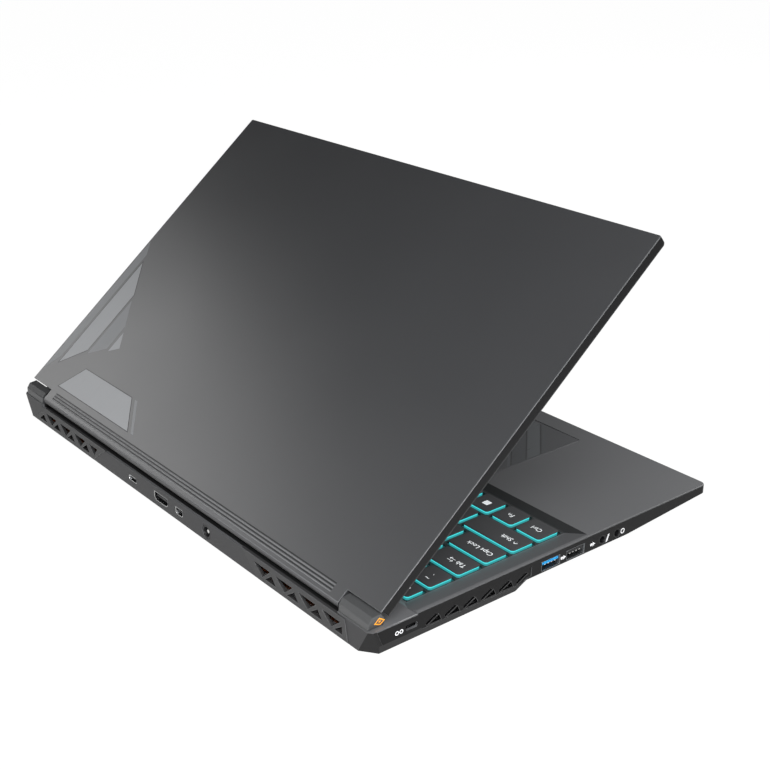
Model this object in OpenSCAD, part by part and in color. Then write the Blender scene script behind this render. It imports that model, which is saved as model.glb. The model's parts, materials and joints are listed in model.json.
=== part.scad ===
// Gaming laptop, 15.6-inch class: open clamshell with two rear corner hinges, rear and side air outlets,
// numeric keypad, clicking touchpad and twin blowers.
// Millimetres. X runs to the user's right, Y to the back, Z up from the table.

/* [Base] */
// Overall width, left to right
body_w = 360; // [356:1:364]
// Overall depth, front edge to rear air outlets
body_d = 238; // [236:1:240]
// Height of the palm rest above the table
deck_z = 15.5; // [15.4:0.1:15.8]
// Height of the rubber feet
foot_h = 1.5; // [1.2:0.1:1.5]
// Thickness of the case walls
wall = 1.5; // [1.4:0.1:1.6]
// Radius of the front corners in plan
corner_r = 4; // [3:1:10]

/* [Lid] */
// Angle of the lid above its closed position
lid_angle = 39.5; // [35:0.5:60]
// Height of the lid's outer face above the hinge axis, when closed
lid_out = 3.4; // [3.3:0.1:3.5]
// Depth of the lid's inner face below the hinge axis, when closed
lid_in = 1.9; // [1.8:0.1:1.9]
// Radius of the lid's two free corners
lid_corner_r = 2.5; // [2:0.5:8]
// Viewable width of the display
view_w = 344.4; // [340:0.1:345]
// Viewable height of the display
view_h = 193.6; // [190:0.1:194]

/* [Hinges] */
// Reach of the faceted hinge covers from the hinge axis
hinge_cover_r = 5.3; // [5.2:0.1:5.4]
// Radius of the hinge shafts
hinge_shaft_r = 1.5; // [1.4:0.1:1.6]

/* [Keyboard] */
// Spacing of the main keys
key_pitch = 18.2; // [18:0.1:18.3]
// Spacing of the numeric keypad's columns
pad_pitch = 15.6; // [15.2:0.1:15.7]
// Spacing of the key rows, front to back
row_pitch = 18.3; // [18:0.1:18.4]
// Gap between neighbouring keys
key_gap = 3; // [2.8:0.1:3.2]
// Height of the key tops above the table
key_top_z = 15.3; // [15.1:0.1:15.4]

/* [Cooling] */
// Outer radius of the blower wheels
wheel_r = 30.5; // [28:0.5:31]
// Number of blades on each blower wheel
blades = 31; // [15:2:37]
// Spacing of the heat sink's fins
fin_pitch = 2.5; // [2:0.1:4]

/* [Hidden] */
$fn = 48;

e = 0.01;
half_w = body_w / 2;
front_y = -body_d / 2;
vent_y = body_d / 2;          // face of the proud rear outlets
rear_y = vent_y - 0.4;        // face of the rear wall
seam_y = rear_y - wall;       // top case ends here, against the rear wall

// Lower edge of the top case's side walls: level, then rising to the slim front edge
skirt_z = 6.3;
skirt_front_z = 10.8;
skirt_bend_y = -54;
floor_front_y = -97;          // where the floor's front chamfer starts
floor_half_w = half_w - 16;   // floor half width of the slim front part
floor_step_y = [20, 26];      // slanted step between the slim front and the deep rear
floor_rear_in = 1.4;          // inward lean of the deep rear part's rim

ceiling_z = deck_z - 2.8;     // underside of the keyboard deck
palm_ceiling_z = deck_z - 1.8;
rear_ceiling_z = deck_z - 3.6;

// Hinge axis
hinge_y = vent_y - 6;
hinge_z = deck_z + 2.5;
tongue_half = 154;            // half width of the lid's tongue between the hinge covers
tongue_s = -2.4;              // tongue's free edge, along the lid from the hinge axis
channel_r = 4.9;
tongue_r = 4.4;               // rounded edge of the tongue, about the hinge axis
lid_side_in = 1;              // inward lean of the lid's sides
lid_len = hinge_y - front_y - 0.5;
notch_r = hinge_cover_r + 0.2;
view_s = lid_len - 10.5 - view_h;  // lower edge of the view area

// Sunken keyboard well
well_floor_z = deck_z - 1.6;
well_y = [-19.6, 88.6];       // foot of the front slope, foot of the rear slope
well_front_run = 5.4;
well_half = 168;
well_side_run = 10;
hinge_deck_y = 91;
hinge_deck_z = deck_z - 0.8;

// Keyboard: rear edge of each row, function row first
function_depth = 11.2;
key_depth = row_pitch - key_gap;
number_rear_y = 71.6;
keys_left = -half_w + 13.8;
pad_left = keys_left + 15 * key_pitch;
hole_gap = 0.9;               // clear gap around each key
web_z = [ceiling_z - 0.1, well_floor_z];
plate_z = [10, 10.8];
key_bottom_z = plate_z[1] + 2.1;
web_box = [[-167.4, -18.1], [167.4, 87]];

// Touchpad
pad_box = [[-96.3, -105.7], [13.7, -32]];
pad_top_z = deck_z - 0.25;

// Left side wall, by Y
lock_slot_y = 94.3;
side_vent_y = [16.6, 88];
side_vent_z = [5.2, 12.35];
side_fin_y = 84.1;
side_fin_pitch = 11.75;
usb_front_y = -14.8;
usb_rear_y = 3;
mic_y = -35;
phones_y = -46.2;
card_y = -34;                 // card slot, on the right side
port_z = 9.7;
usb_w = 13.2;
usb_h = 5.7;
usb_depth = 12.2;
jack_r = 1.8;
jack_hole_r = 2.9;
jack_len = 14;

// Rear wall, by X
usb_c_x = 39.5;
hdmi_x = 7.7;
mini_dp_x = -11.7;
dc_x = -39.9;
rear_port_z = 7.2;
wall_top_z = 13;              // rear wall between the hinge covers
vent_z = [3.3, 13.6];         // rear outlets where they pass through the wall
vent_lip_z = 1.7;             // lower edge of their proud face
// Rear outlets: X of the inner and outer end at the top, and how far each runs outwards per unit down
vent_right = [70.6, 149.5, 1.43, 1.57];
vent_left = [-74.4, -161, -1.2, -0.2];
truss_pitch = 19.2;

// Blowers
fan_x = 112;
fan_y = 62;
fan_r = 34.5;
fan_back = 39.3;              // blower centre to its outlet
fan_z = [3.3, 9.5];
wheel_z = [4.5, 8.7];

// Case screws: through the floor into bosses under the deck, and into the board's standoffs
deck_screws = [[-155, -86], [60, -93.4], [155, -86], [-172.5, 46], [172.5, 46]];
board_screws = [[-70, -14], [70, -14], [-64, 86], [64, 86]];
screw_spots = concat(deck_screws, board_screws);
boss_r = 2.6;
boss_foot_z = foot_h + wall + 0.05;
screw_top_z = foot_h + 6.5;

function unit(v) = v / norm(v);
function flip_x(p) = [-p[0], p[1], p[2]];
function arc(c, r, a0, n) = [for (i = [0:n]) c + r * [cos(a0 + 90 * i / n), sin(a0 + 90 * i / n)]];
function rounded_rect(a, b, r, n = 3) = concat(arc([b[0] - r, b[1] - r], r, 0, n),
    arc([a[0] + r, b[1] - r], r, 90, n), arc([a[0] + r, a[1] + r], r, 180, n),
    arc([b[0] - r, a[1] + r], r, 270, n));

module box(lo, hi) {
    translate(lo) cube(hi - lo);
}

// Prism along X from an outline of [y, z] points
module prism_x(points, x0, x1) {
    translate([x0, 0, 0]) rotate([90, 0, 90]) linear_extrude(x1 - x0) polygon(points);
}

// Prism along Y from an outline of [x, z] points
module prism_y(points, y0, y1) {
    translate([0, y1, 0]) rotate([90, 0, 0]) linear_extrude(y1 - y0) polygon(points);
}

module prism_z(points, z0, z1) {
    translate([0, 0, z0]) linear_extrude(z1 - z0) polygon(points);
}

module mirrored_x() {
    children();
    mirror([1, 0, 0]) children();
}

// Thick slab on the far side of the plane through a, b and c, moved back by inset
module slab(a, b, c, inset = 0) {
    n = unit(cross(b - a, c - a));
    translate(a - n * inset) rotate([0, acos(n[2]), atan2(n[1], n[0])])
        translate([-600, -600, 0]) cube([1200, 1200, 60]);
}

// Plan of the base: square rear corners, rounded front corners
module plan(inset) {
    w = half_w - inset;
    y0 = front_y + inset;
    r = corner_r - inset;
    translate([-w, y0 + r]) square([2 * w, rear_y - inset - y0 - r]);
    translate([-w + r, y0]) square([2 * (w - r), r + 1]);
    for (s = [-1, 1]) translate([s * (w - r), y0 + r]) circle(r);
}

// Rear corner facets, narrowing towards the deck
module corner_facets(inset) {
    mirrored_x() slab([half_w - 1.6, rear_y, deck_z], [half_w, rear_y - 5, skirt_z],
        [half_w - 9.4, rear_y, foot_h], inset);
}

// Outer form of the base, moved inwards by inset
module base_form(inset, top) {
    step_run = floor_step_y[1] - floor_step_y[0];
    step_shift = inset * norm([step_run, skirt_z - foot_h]) / (skirt_z - foot_h);
    step = [floor_step_y[0] + step_shift, floor_step_y[1] + step_shift];
    difference() {
        translate([0, 0, foot_h + inset]) linear_extrude(top - foot_h - inset) plan(inset);
        corner_facets(inset);
        slab([0, front_y, skirt_front_z], [0, floor_front_y, foot_h], [half_w, front_y, skirt_front_z], inset);
        mirrored_x() {
            slab([half_w, 0, skirt_z], [half_w - floor_rear_in, 0, foot_h], [half_w, 10, skirt_z], inset);
            slab([half_w, skirt_bend_y, skirt_z], [half_w, front_y, skirt_front_z],
                [floor_half_w, skirt_bend_y, foot_h], inset);
            intersection() {
                slab([half_w, 0, skirt_z], [floor_half_w, 0, foot_h], [half_w, 10, skirt_z], inset);
                prism_x([[-200, -20], [step[1], -20], [step[1], foot_h], [step[0], skirt_z], [step[0] - 12, 20],
                    [-200, 20]], 0, 300);
            }
        }
    }
}

// Space that belongs to the top case: above the skirt line and in front of the rear wall
module top_zone(clear) {
    difference() {
        prism_x([[front_y - 5, skirt_front_z + 0.32], [front_y, skirt_front_z], [skirt_bend_y, skirt_z],
            [seam_y - clear, skirt_z], [seam_y - clear, 40], [front_y - 5, 40]], -200, 200);
        corner_facets(wall + clear);
    }
}

// ---- Keyboard layout ----
function unit_sum(widths, i) = i <= 0 ? 0 : widths[i - 1] + unit_sum(widths, i - 1);

// Footprint of a key: [low corner, high corner]
function key_rect(x, w, rear, depth) = [[x, rear - depth], [x + w - key_gap, rear]];

// Keys of a row, from the widths of its keys in units
function row_keys(widths, rear, depth) = [for (i = [0:len(widths) - 1])
    key_rect(keys_left + unit_sum(widths, i) * key_pitch, widths[i] * key_pitch, rear, depth)];

function row_rear(i) = number_rear_y - i * row_pitch;
function repeat(v, n) = [for (i = [1:n]) v];

function_rear = web_box[1][1] - 1.2;
function_row = row_keys(repeat(1, 15), function_rear, function_depth);
number_row = row_keys(concat(repeat(1, 13), [2]), row_rear(0), key_depth);
upper_row = row_keys(concat([1.5], repeat(1, 12), [1.5]), row_rear(1), key_depth);
home_row = row_keys(concat([1.75], repeat(1, 11), [2.25]), row_rear(2), key_depth);
lower_row = row_keys(concat([2.25], repeat(1, 10), [1.75, 1]), row_rear(3), key_depth);
bottom_widths = [1.13, 1, 1, 1, 4.87, 1, 1, 1, 1, 1, 1];
bottom_row = row_keys(bottom_widths, row_rear(4), key_depth);
space_index = 4;

// Numeric keypad: [column, row, columns wide, rows tall]; rows count from the number row
keypad_cells = [[0, 0, 1, 1], [1, 0, 1, 1], [2, 0, 1, 1], [3, 0, 1, 1],
    [0, 1, 1, 1], [1, 1, 1, 1], [2, 1, 1, 1], [3, 1, 1, 2],
    [0, 2, 1, 1], [1, 2, 1, 1], [2, 2, 1, 1],
    [0, 3, 1, 1], [1, 3, 1, 1], [2, 3, 1, 1], [3, 3, 1, 2],
    [0, 4, 2, 1], [2, 4, 1, 1]];
function keypad_rect(c) = key_rect(pad_left + c[0] * pad_pitch, c[2] * pad_pitch, row_rear(c[1]),
    c[3] * row_pitch - key_gap);
keypad = [for (c = keypad_cells) keypad_rect(c)];
pad_function = [for (i = [0:3]) key_rect(pad_left + i * pad_pitch, pad_pitch, function_rear, function_depth)];

function slice(list, a, b) = [for (i = [a:b]) list[i]];
all_keys = concat(function_row, number_row, upper_row, home_row, lower_row, bottom_row, keypad, pad_function);

// Chiclet keycaps: a skirt, and a slightly smaller top
module keycaps(rects) {
    for (k = rects) {
        prism_z(rounded_rect(k[0], k[1], 1.8), key_bottom_z, key_top_z - 0.5);
        prism_z(rounded_rect(k[0] + [0.3, 0.3], k[1] - [0.3, 0.3], 1.6), key_top_z - 0.5, key_top_z);
    }
}

// ---- Base shells ----
module key_well() {
    intersection() {
        prism_y([[-well_half, well_floor_z], [well_half, well_floor_z],
            [well_half + well_side_run, deck_z], [well_half + well_side_run, deck_z + 5],
            [-well_half - well_side_run, deck_z + 5], [-well_half - well_side_run, deck_z]], -60, 110);
        prism_x([[well_y[0], well_floor_z], [well_y[1], well_floor_z], [hinge_deck_y, hinge_deck_z],
            [hinge_deck_y, deck_z + 5], [well_y[0] - well_front_run, deck_z + 5],
            [well_y[0] - well_front_run, deck_z]], -200, 200);
    }
}

module hinge_deck_recess() {
    box([-half_w - 1, hinge_deck_y, hinge_deck_z], [half_w + 1, vent_y + 1, deck_z + 5]);
}

// Trough that the lid's tongue turns in
module tongue_channel() {
    w = tongue_half + 0.6;
    translate([-w, hinge_y, hinge_z]) rotate([0, 90, 0]) cylinder(r = channel_r, h = 2 * w);
    box([-w, hinge_y, hinge_z - channel_r], [w, vent_y + 1, deck_z + 5]);
}

// Outline of a side outlet in [y, z]; its front end stays above the floor's step
function side_vent_outline(grow) = [[side_vent_y[0] - grow, side_vent_z[1] + grow],
    [side_vent_y[0] - grow, 7.3 - grow], [19.6 - grow, 7.3 - grow], [22.6 - grow, side_vent_z[0] - grow],
    [side_vent_y[1] + grow, side_vent_z[0] - grow], [side_vent_y[1] + grow, side_vent_z[1] + grow]];

module side_vent_cuts() {
    for (s = [-1, 1]) prism_x(side_vent_outline(0.05), s * half_w - 2, s * half_w + 2);
}

module side_port_cuts() {
    for (y = [usb_front_y, usb_rear_y])
        box([-half_w - 1, y - usb_w / 2 - 0.1, port_z - usb_h / 2 - 0.1],
            [-half_w + 5, y + usb_w / 2 + 0.1, port_z + usb_h / 2 + 0.1]);
    for (y = [mic_y, phones_y]) {
        translate([-half_w - 1, y, port_z]) rotate([0, 90, 0]) cylinder(r = jack_hole_r, h = wall + 1.5);
        box([-half_w + wall, y - 3.3, port_z - 2.7], [-half_w + 6, y + 3.3, port_z + 3]);
    }
    side_vent_cuts();
    prism_x(rounded_rect([lock_slot_y - 3.5, port_z - 1.5], [lock_slot_y + 3.5, port_z + 1.5], 0.8),
        -half_w - 1, -half_w + wall + 1);
    box([half_w - 5, usb_rear_y - usb_w / 2 - 0.1, port_z - usb_h / 2 - 0.1],
        [half_w + 1, usb_rear_y + usb_w / 2 + 0.1, port_z + usb_h / 2 + 0.1]);
    box([half_w - wall - 1, card_y - 12.6, port_z - 1.6], [half_w + 1, card_y + 12.6, port_z + 1.6]);
}

module screw_bosses() {
    for (p = deck_screws) translate([p[0], p[1], 0]) difference() {
        top = p[1] < well_y[0] ? palm_ceiling_z : ceiling_z;
        translate([0, 0, boss_foot_z]) cylinder(r = boss_r, h = top - boss_foot_z + 0.2);
        cylinder(r = 1.05, h = screw_top_z + 0.4);
    }
}

module top_case() {
    color("#4a4c4e") difference() {
        intersection() {
            union() {
                difference() {
                    base_form(0, deck_z);
                    intersection() {
                        base_form(wall, deck_z);
                        union() {
                            box([-200, -200, 0], [200, 200, rear_ceiling_z]);
                            box([-200, -200, 0], [200, hinge_deck_y + 1, ceiling_z]);
                            box([-200, -200, 0], [200, well_y[0] - 9, palm_ceiling_z]);
                        }
                    }
                    box([-half_w + wall, seam_y - 20, 0], [half_w - wall, 200, rear_ceiling_z]);
                }
                intersection() {
                    base_form(0, deck_z);
                    screw_bosses();
                }
            }
            union() {
                top_zone(0.05);
                intersection() {
                    base_form(wall + 0.1, deck_z);
                    screw_bosses();
                }
            }
        }
        key_well();
        hinge_deck_recess();
        tongue_channel();
        // keyboard opening
        box([web_box[0][0] - 0.2, web_box[0][1] - 0.2, 0], [web_box[1][0] + 0.2, web_box[1][1] + 0.2, 30]);
        // touchpad opening
        prism_z(rounded_rect(pad_box[0] - [0.35, 0.35], pad_box[1] + [0.35, 0.35], 2), 8, 30);
        // hinge bracket slots
        mirrored_x() box([157.6, hinge_y - 3.7, 0], [171.4, hinge_y + 3.6, 30]);
        side_port_cuts();
    }
}

module rear_port_cuts() {
    y0 = seam_y - 1;
    y1 = vent_y + 1;
    prism_y(rounded_rect([usb_c_x - 4.7, rear_port_z - 1.8], [usb_c_x + 4.7, rear_port_z + 1.8], 1.7), y0, y1);
    prism_y([[hdmi_x - 7.6, rear_port_z + 2.9], [hdmi_x - 7.6, rear_port_z - 1.2], [hdmi_x - 5.4, rear_port_z - 2.9],
        [hdmi_x + 5.4, rear_port_z - 2.9], [hdmi_x + 7.6, rear_port_z - 1.2], [hdmi_x + 7.6, rear_port_z + 2.9]],
        y0, y1);
    prism_y([[mini_dp_x - 3.9, rear_port_z + 2.4], [mini_dp_x - 3.9, rear_port_z - 1],
        [mini_dp_x - 2.5, rear_port_z - 2.4], [mini_dp_x + 2.5, rear_port_z - 2.4],
        [mini_dp_x + 3.9, rear_port_z - 1], [mini_dp_x + 3.9, rear_port_z + 2.4]], y0, y1);
    translate([dc_x, y0, rear_port_z]) rotate([-90, 0, 0]) cylinder(r = 4.1, h = y1 - y0);
}

// Outline of a rear outlet in [x, z] down to the height low
function vent_outline(v, low, grow = 0) = let (s = sign(v[0])) let (drop = vent_z[1] + grow - low)
    [[v[0] - s * 1.6 * grow, vent_z[1] + grow], [v[0] + v[2] * drop - s * 1.6 * grow, low],
    [v[1] + v[3] * drop + s * 1.6 * grow, low], [v[1] + s * 1.6 * grow, vent_z[1] + grow]];

// Slanted intake slots under each blower
module intake_slots() {
    for (s = [-1, 1], row = [0:6], col = [0:3]) {
        x = s * fan_x + (col - 1.5) * 15 + (row % 2 - 0.5) * 3;
        y = fan_y + (row - 3) * 7;
        prism_z([[x - 6, y - 1.4], [x + 4.4, y - 1.4], [x + 6, y + 1.4], [x - 4.4, y + 1.4]], 0, 4);
    }
}

module bottom_cover() {
    color("#3c3d3f") difference() {
        base_form(0, deck_z);
        base_form(wall, deck_z + 2);
        top_zone(0);
        box([-tongue_half - 0.6, hinge_y - 4, wall_top_z], [tongue_half + 0.6, vent_y + 1, deck_z + 1]);
        hinge_deck_recess();
        rear_port_cuts();
        side_vent_cuts();
        for (v = [vent_left, vent_right])
            prism_y(vent_outline(v, vent_z[0] - 0.05, 0.05), seam_y - 1, vent_y + 1);
        intake_slots();
        for (p = screw_spots) translate([p[0], p[1], 0]) {
            cylinder(r = 1.25, h = 12);
            cylinder(r = 2.3, h = foot_h + 0.7);
        }
    }
}

// Outlet plugged through the rear wall, with a proud face. Its truss stands between triangular holes: big ones
// hanging to the right of each hang_x, small ones standing beside each stand_x, and a cut-off one at the end
module rear_vent(v, hang_x, stand_x, end_hole) {
    difference() {
        union() {
            prism_y(vent_outline(v, vent_z[0]), seam_y + 0.05, vent_y);
            prism_y(vent_outline(v, vent_lip_z), rear_y + 0.02, vent_y);
        }
        for (i = [0:len(hang_x) - 1]) prism_y([for (p = [[0, 10.4], [14, 10.4], [7, 4.5]])
            [hang_x[i] + p[0], p[1]]], 110, 130);
        for (i = [0:len(stand_x) - 1]) prism_y([for (p = [[14.3, 4.2], [24, 4.2], [17.8, 8.5]])
            [stand_x[i] + p[0], p[1]]], 110, 130);
        prism_y(end_hole, 110, 130);
    }
}

module rear_vent_left() {
    x = [for (i = [0:3]) -157.4 + i * truss_pitch];
    color("#525456") rear_vent(vent_left, x, [x[0], x[1], x[2]], [[-158.8, 4.2], [-152.6, 4.2], [-158.8, 8.5]]);
}

module rear_vent_right() {
    x = [for (i = [0:3]) 77.5 + i * truss_pitch];
    color("#525456") rear_vent(vent_right, [x[1], x[2], x[3]], x, [[81.4, 10.4], [91.5, 10.4], [85.6, 5.4]]);
}

// Side outlet: a panel with slanted fins, each between a slanted slot and a triangular one
module side_vent(s) {
    x_out = half_w - 0.3;
    x_in = half_w - 1.9;
    difference() {
        prism_x(side_vent_outline(0), min(s * x_in, s * x_out), max(s * x_in, s * x_out));
        for (i = [0:5]) {
            y = side_fin_y - i * side_fin_pitch;
            prism_x([[y + 1, 5.8], [y + 1.2, 7.4], [y - 4.9, 10.3], [y - 6.6, 9.45]], -200, 200);
            if (i < 5) prism_x([[y - 0.6, 5.8], [y - 7, 8.9], [y - 8.4, 5.8]], -200, 200);
        }
    }
}

module side_vent_left() {
    color("#2a2b2c") side_vent(-1);
}

module side_vent_right() {
    color("#2a2b2c") side_vent(1);
}

// ---- Hinges ----
// Faceted cover round the knuckle, standing on the hinge deck
module hinge_cover() {
    x0 = tongue_half + 1;
    x1 = half_w - 2;
    k = hinge_cover_r / 5.3;
    section = [[4.9, -6], [4.9, -2.4], [4.6, 0.6], [2.4, 3.4], [-2.2, 3.9], [-4.2, 1.2], [-4.7, -6]];
    color("#4a4c4e") difference() {
        prism_x([for (p = section) [hinge_y + p[0] * k, hinge_z + p[1] * k]], x0, x1);
        box([x0 - 1, 90, 0], [x1 + 1, 130, hinge_deck_z]);
        // end face leaning inwards to its foot
        slab([x1, 90, hinge_z + 4], [x1 - 1, 90, hinge_deck_z], [x1, 130, hinge_z + 4]);
        translate([x0 - 1, hinge_y, hinge_z]) rotate([0, 90, 0]) cylinder(r = 3.05, h = 18);
        box([x0 + 1.6, hinge_y - 3.2, 0], [x0 + 16.4, hinge_y + 3.2, hinge_z]);
    }
}

module hinge_cover_left() {
    mirror([1, 0, 0]) hinge_cover();
}

module hinge_cover_right() {
    hinge_cover();
}

// Fixed leaf: a plate under the deck, an arm and the knuckle that holds the shaft
module hinge_bracket() {
    color("#9a9c9e") difference() {
        union() {
            box([157, 94, rear_ceiling_z - 1.4], [173, hinge_y + 3, rear_ceiling_z]);
            box([158.2, hinge_y - 2.7, rear_ceiling_z - 1.4], [170.8, hinge_y + 2.7, hinge_z]);
            translate([158.2, hinge_y, hinge_z]) rotate([0, 90, 0]) cylinder(r = 2.7, h = 12.6);
        }
        translate([150, hinge_y, hinge_z]) rotate([0, 90, 0]) cylinder(r = hinge_shaft_r + 0.04, h = 30);
        for (x = [161, 169]) translate([x, 99, 0]) cylinder(r = 1.1, h = 20);
    }
}

module hinge_bracket_left() {
    mirror([1, 0, 0]) hinge_bracket();
}

module hinge_bracket_right() {
    hinge_bracket();
}

// ---- Keyboard ----
module keyboard_web() {
    color("#333436") difference() {
        union() {
            box(concat(web_box[0], web_z[0]), concat(web_box[1], web_z[1]));
            difference() {
                box(concat(web_box[0], plate_z[1]), concat(web_box[1], web_z[0]));
                box(concat(web_box[0] + [0.8, 0.7], 0), concat(web_box[1] - [0.8, 0.7], 30));
            }
        }
        for (k = all_keys)
            prism_z(rounded_rect(k[0] - [hole_gap, hole_gap], k[1] + [hole_gap, hole_gap], 1.2, 1), 12, 20);
    }
}

module keyboard_backplate() {
    color("#6f7274") difference() {
        union() {
            box(concat(web_box[0], plate_z[0]), concat(web_box[1], plate_z[1]));
            for (p = board_screws) translate([p[0], p[1], boss_foot_z])
                cylinder(r = boss_r, h = plate_z[0] - boss_foot_z + e);
        }
        for (p = board_screws) translate([p[0], p[1], 0]) cylinder(r = 1.05, h = screw_top_z + 0.4);
    }
}

// ---- Inside the base ----
module battery() {
    color("#1d1e20") difference() {
        box([-112, -89, 3.3], [112, -31, 9.8]);
        for (x = [-67.2, -22.4, 22.4, 67.2]) box([x - 0.5, -92, 9.2], [x + 0.5, -30, 10]);
        for (s = [-1, 1]) translate([s * 108, -35, 0]) cylinder(r = 1.3, h = 20);
    }
}

module mainboard() {
    color("#1f4a34") difference() {
        prism_z([[-164, -52], [-150, -52], [-150, -20], [164, -20], [164, 20], [75, 20], [75, 102], [-75, 102],
            [-75, 20], [-164, 20]], 5.2, 6.4);
        for (p = screw_spots) translate([p[0], p[1], 0]) cylinder(r = boss_r + 0.5, h = 20);
    }
    color("#2c2e30") {
        box([-33, 51, 6.4], [-11, 73, 7.1]);
        box([18, 48, 6.4], [46, 76, 7.1]);
        for (i = [0:6]) box([-44 + i * 13, 89, 6.4], [-36 + i * 13, 96, 9.2]);
        for (i = [0:4]) box([54, 28 + i * 9, 6.4], [62, 34 + i * 9, 8.8]);
        for (i = [0:3]) box([-66, 30 + i * 13, 6.4], [-54, 40 + i * 13, 7.6]);
    }
}

// Unit normal of a route in plan at point i, lengthened to keep the width round a bend
function route_normal(p, i) =
    let (a = unit(p[i] - p[max(i - 1, 0)] + (i == 0 ? p[1] - p[0] : [0, 0])))
    let (b = i == len(p) - 1 ? a : unit(p[i + 1] - p[i]))
    let (m = unit([-a[1] - b[1], a[0] + b[0]])) m / (m * [-a[1], a[0]]);

// Flattened heat pipe along a route in plan
module heat_pipe(route, w, z0, z1) {
    last = len(route) - 1;
    prism_z(concat([for (i = [0:last]) route[i] + route_normal(route, i) * w / 2],
        [for (i = [last:-1:0]) route[i] - route_normal(route, i) * w / 2]), z0, z1);
}

// Cold plates, heat pipes and the two fin stacks behind the rear outlets
module heatsink() {
    color("#b5703f") {
        box([-40, 44, 7.1], [-4, 80, 8.2]);
        box([12, 42, 7.1], [52, 82, 8.2]);
        for (s = [-1, 1], k = [0, 1]) heat_pipe([[s * 156, 110 - 6 * k], [s * 76, 110 - 6 * k],
            [s * (52 - 4 * k), 88 - 5 * k], [s * (30 - 4 * k), 74 - 7 * k - 6 * s],
            [s * -36, 74 - 7 * k - 6 * s]], 5, 8.15, 9.7);
    }
    color("#b9bcc0") for (s = [-1, 1]) {
        x0 = s < 0 ? -157 : 79;
        n = floor(78 / fin_pitch);
        for (i = [0:n]) box([x0 + i * fin_pitch, 102.4, 3.2], [x0 + i * fin_pitch + 0.5, 114, 8.2]);
        box([x0, 102.4, 9.6], [x0 + n * fin_pitch + 0.5, 114, 10.2]);
        box([x0, 102.4, 3.2], [x0 + n * fin_pitch + 0.5, 114, 3.6]);
    }
}

// Blower housing: two plates with round inlets, a wall open to the rear and a motor seat on three spokes
module fan_housing(cx) {
    color("#232426") translate([cx, fan_y, 0]) difference() {
        union() {
            translate([0, 0, fan_z[0]]) cylinder(r = fan_r, h = fan_z[1] - fan_z[0]);
            box([-fan_r, 0, fan_z[0]], [fan_r, fan_back, fan_z[1]]);
        }
        translate([0, 0, fan_z[0] + 0.6]) cylinder(r = fan_r - 1, h = fan_z[1] - fan_z[0] - 1.2);
        box([-fan_r + 1, 0, fan_z[0] + 0.6], [fan_r - 1, 50, fan_z[1] - 0.6]);
        cylinder(r = 21, h = 30);
    }
    color("#232426") translate([cx, fan_y, fan_z[0]]) {
        cylinder(r = 9, h = 0.6);
        cylinder(r = 1.5, h = 4.4);
        for (a = [90, 210, 330]) rotate(a) box([0, -1.2, 0], [22, 1.2, 0.6]);
    }
}

module fan_housing_left() {
    fan_housing(-fan_x);
}

module fan_housing_right() {
    fan_housing(fan_x);
}

// Blower wheel: hub cap and backward-curved blades, one arc each
module fan_wheel(cx) {
    blade_r = 16;
    hub_r = 11.5;
    chord = wheel_r - hub_r + 0.4;
    half = asin(chord / 2 / blade_r);
    color("#2f3133") translate([cx, fan_y, wheel_z[0]]) difference() {
        union() {
            cylinder(r = hub_r, h = 4.2);
            for (i = [0:blades - 1]) rotate(i * 360 / blades)
                translate([hub_r + chord / 2 - 0.4, -blade_r * cos(half), 0.3])
                    rotate(90 - half) rotate_extrude(angle = 2 * half) translate([blade_r - 0.35, 0])
                        square([0.7, 3.6]);
            difference() {
                translate([0, 0, 1.6]) cylinder(r = wheel_r - 6, h = 0.6);
                translate([0, 0, 1]) cylinder(r = wheel_r - 7, h = 2);
            }
        }
        translate([0, 0, -1]) cylinder(r = 1.55, h = 4.4);
        translate([0, 0, -1]) difference() {
            cylinder(r = hub_r - 1, h = 4.2);
            cylinder(r = 3, h = 5);
        }
    }
}

module fan_wheel_left() {
    fan_wheel(-fan_x);
}

module fan_wheel_right() {
    fan_wheel(fan_x);
}

module speakers() {
    color("#1b1c1d") mirrored_x() difference() {
        prism_z(rounded_rect([119, -96], [149, -52], 3), 3.4, 11);
        prism_z(rounded_rect([124, -70], [144, -57], 5), 2, 4.2);
    }
}

module ssd() {
    color("#14532d") box([80, -12, 6.4], [160, 10, 7.2]);
    color("#1a1a1a") for (x = [88, 110, 132]) box([x, -9, 7.2], [x + 16, 7, 8.4]);
}

module memory_modules() {
    for (x = [-56, 14]) {
        color("#14532d") box([x - 8, -2, 6.4], [x + 58, 26, 7.4]);
        color("#1a1a1a") for (i = [0:3]) box([x - 4 + i * 15, 6, 7.4], [x + 6 + i * 15, 20, 8.4]);
    }
}

module wireless_card() {
    color("#14532d") box([-112, -14, 6.4], [-90, 12, 7.2]);
    color("#b9bcc0") box([-110, -10, 7.2], [-92, 8, 8.6]);
}

// ---- Sockets ----
// Type A socket opening to -X: shell and contact tongue
module usb_a(y) {
    translate([-half_w + 0.15, y, port_z]) {
        difference() {
            box([0, -usb_w / 2, -usb_h / 2], [usb_depth, usb_w / 2, usb_h / 2]);
            box([-1, -usb_w / 2 + 0.4, -usb_h / 2 + 0.4], [usb_depth - 1.2, usb_w / 2 - 0.4, usb_h / 2 - 0.4]);
        }
        box([1.2, -5.5, 0.25], [usb_depth - e, 5.5, 2.1]);
    }
}

module usb_a_port_front() {
    color("#17181a") usb_a(usb_front_y);
}

module usb_a_port_rear() {
    color("#2a6fb0") usb_a(usb_rear_y);
}

module usb_a_port_right() {
    color("#2a6fb0") mirror([1, 0, 0]) usb_a(usb_rear_y);
}

module card_reader() {
    color("#3a3c3e") difference() {
        box([half_w - 24, card_y - 14, port_z - 2], [half_w - wall - 0.1, card_y + 14, port_z + 2]);
        box([half_w - 23, card_y - 12.2, port_z - 1.3], [half_w, card_y + 12.2, port_z + 1.3]);
    }
}

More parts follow.
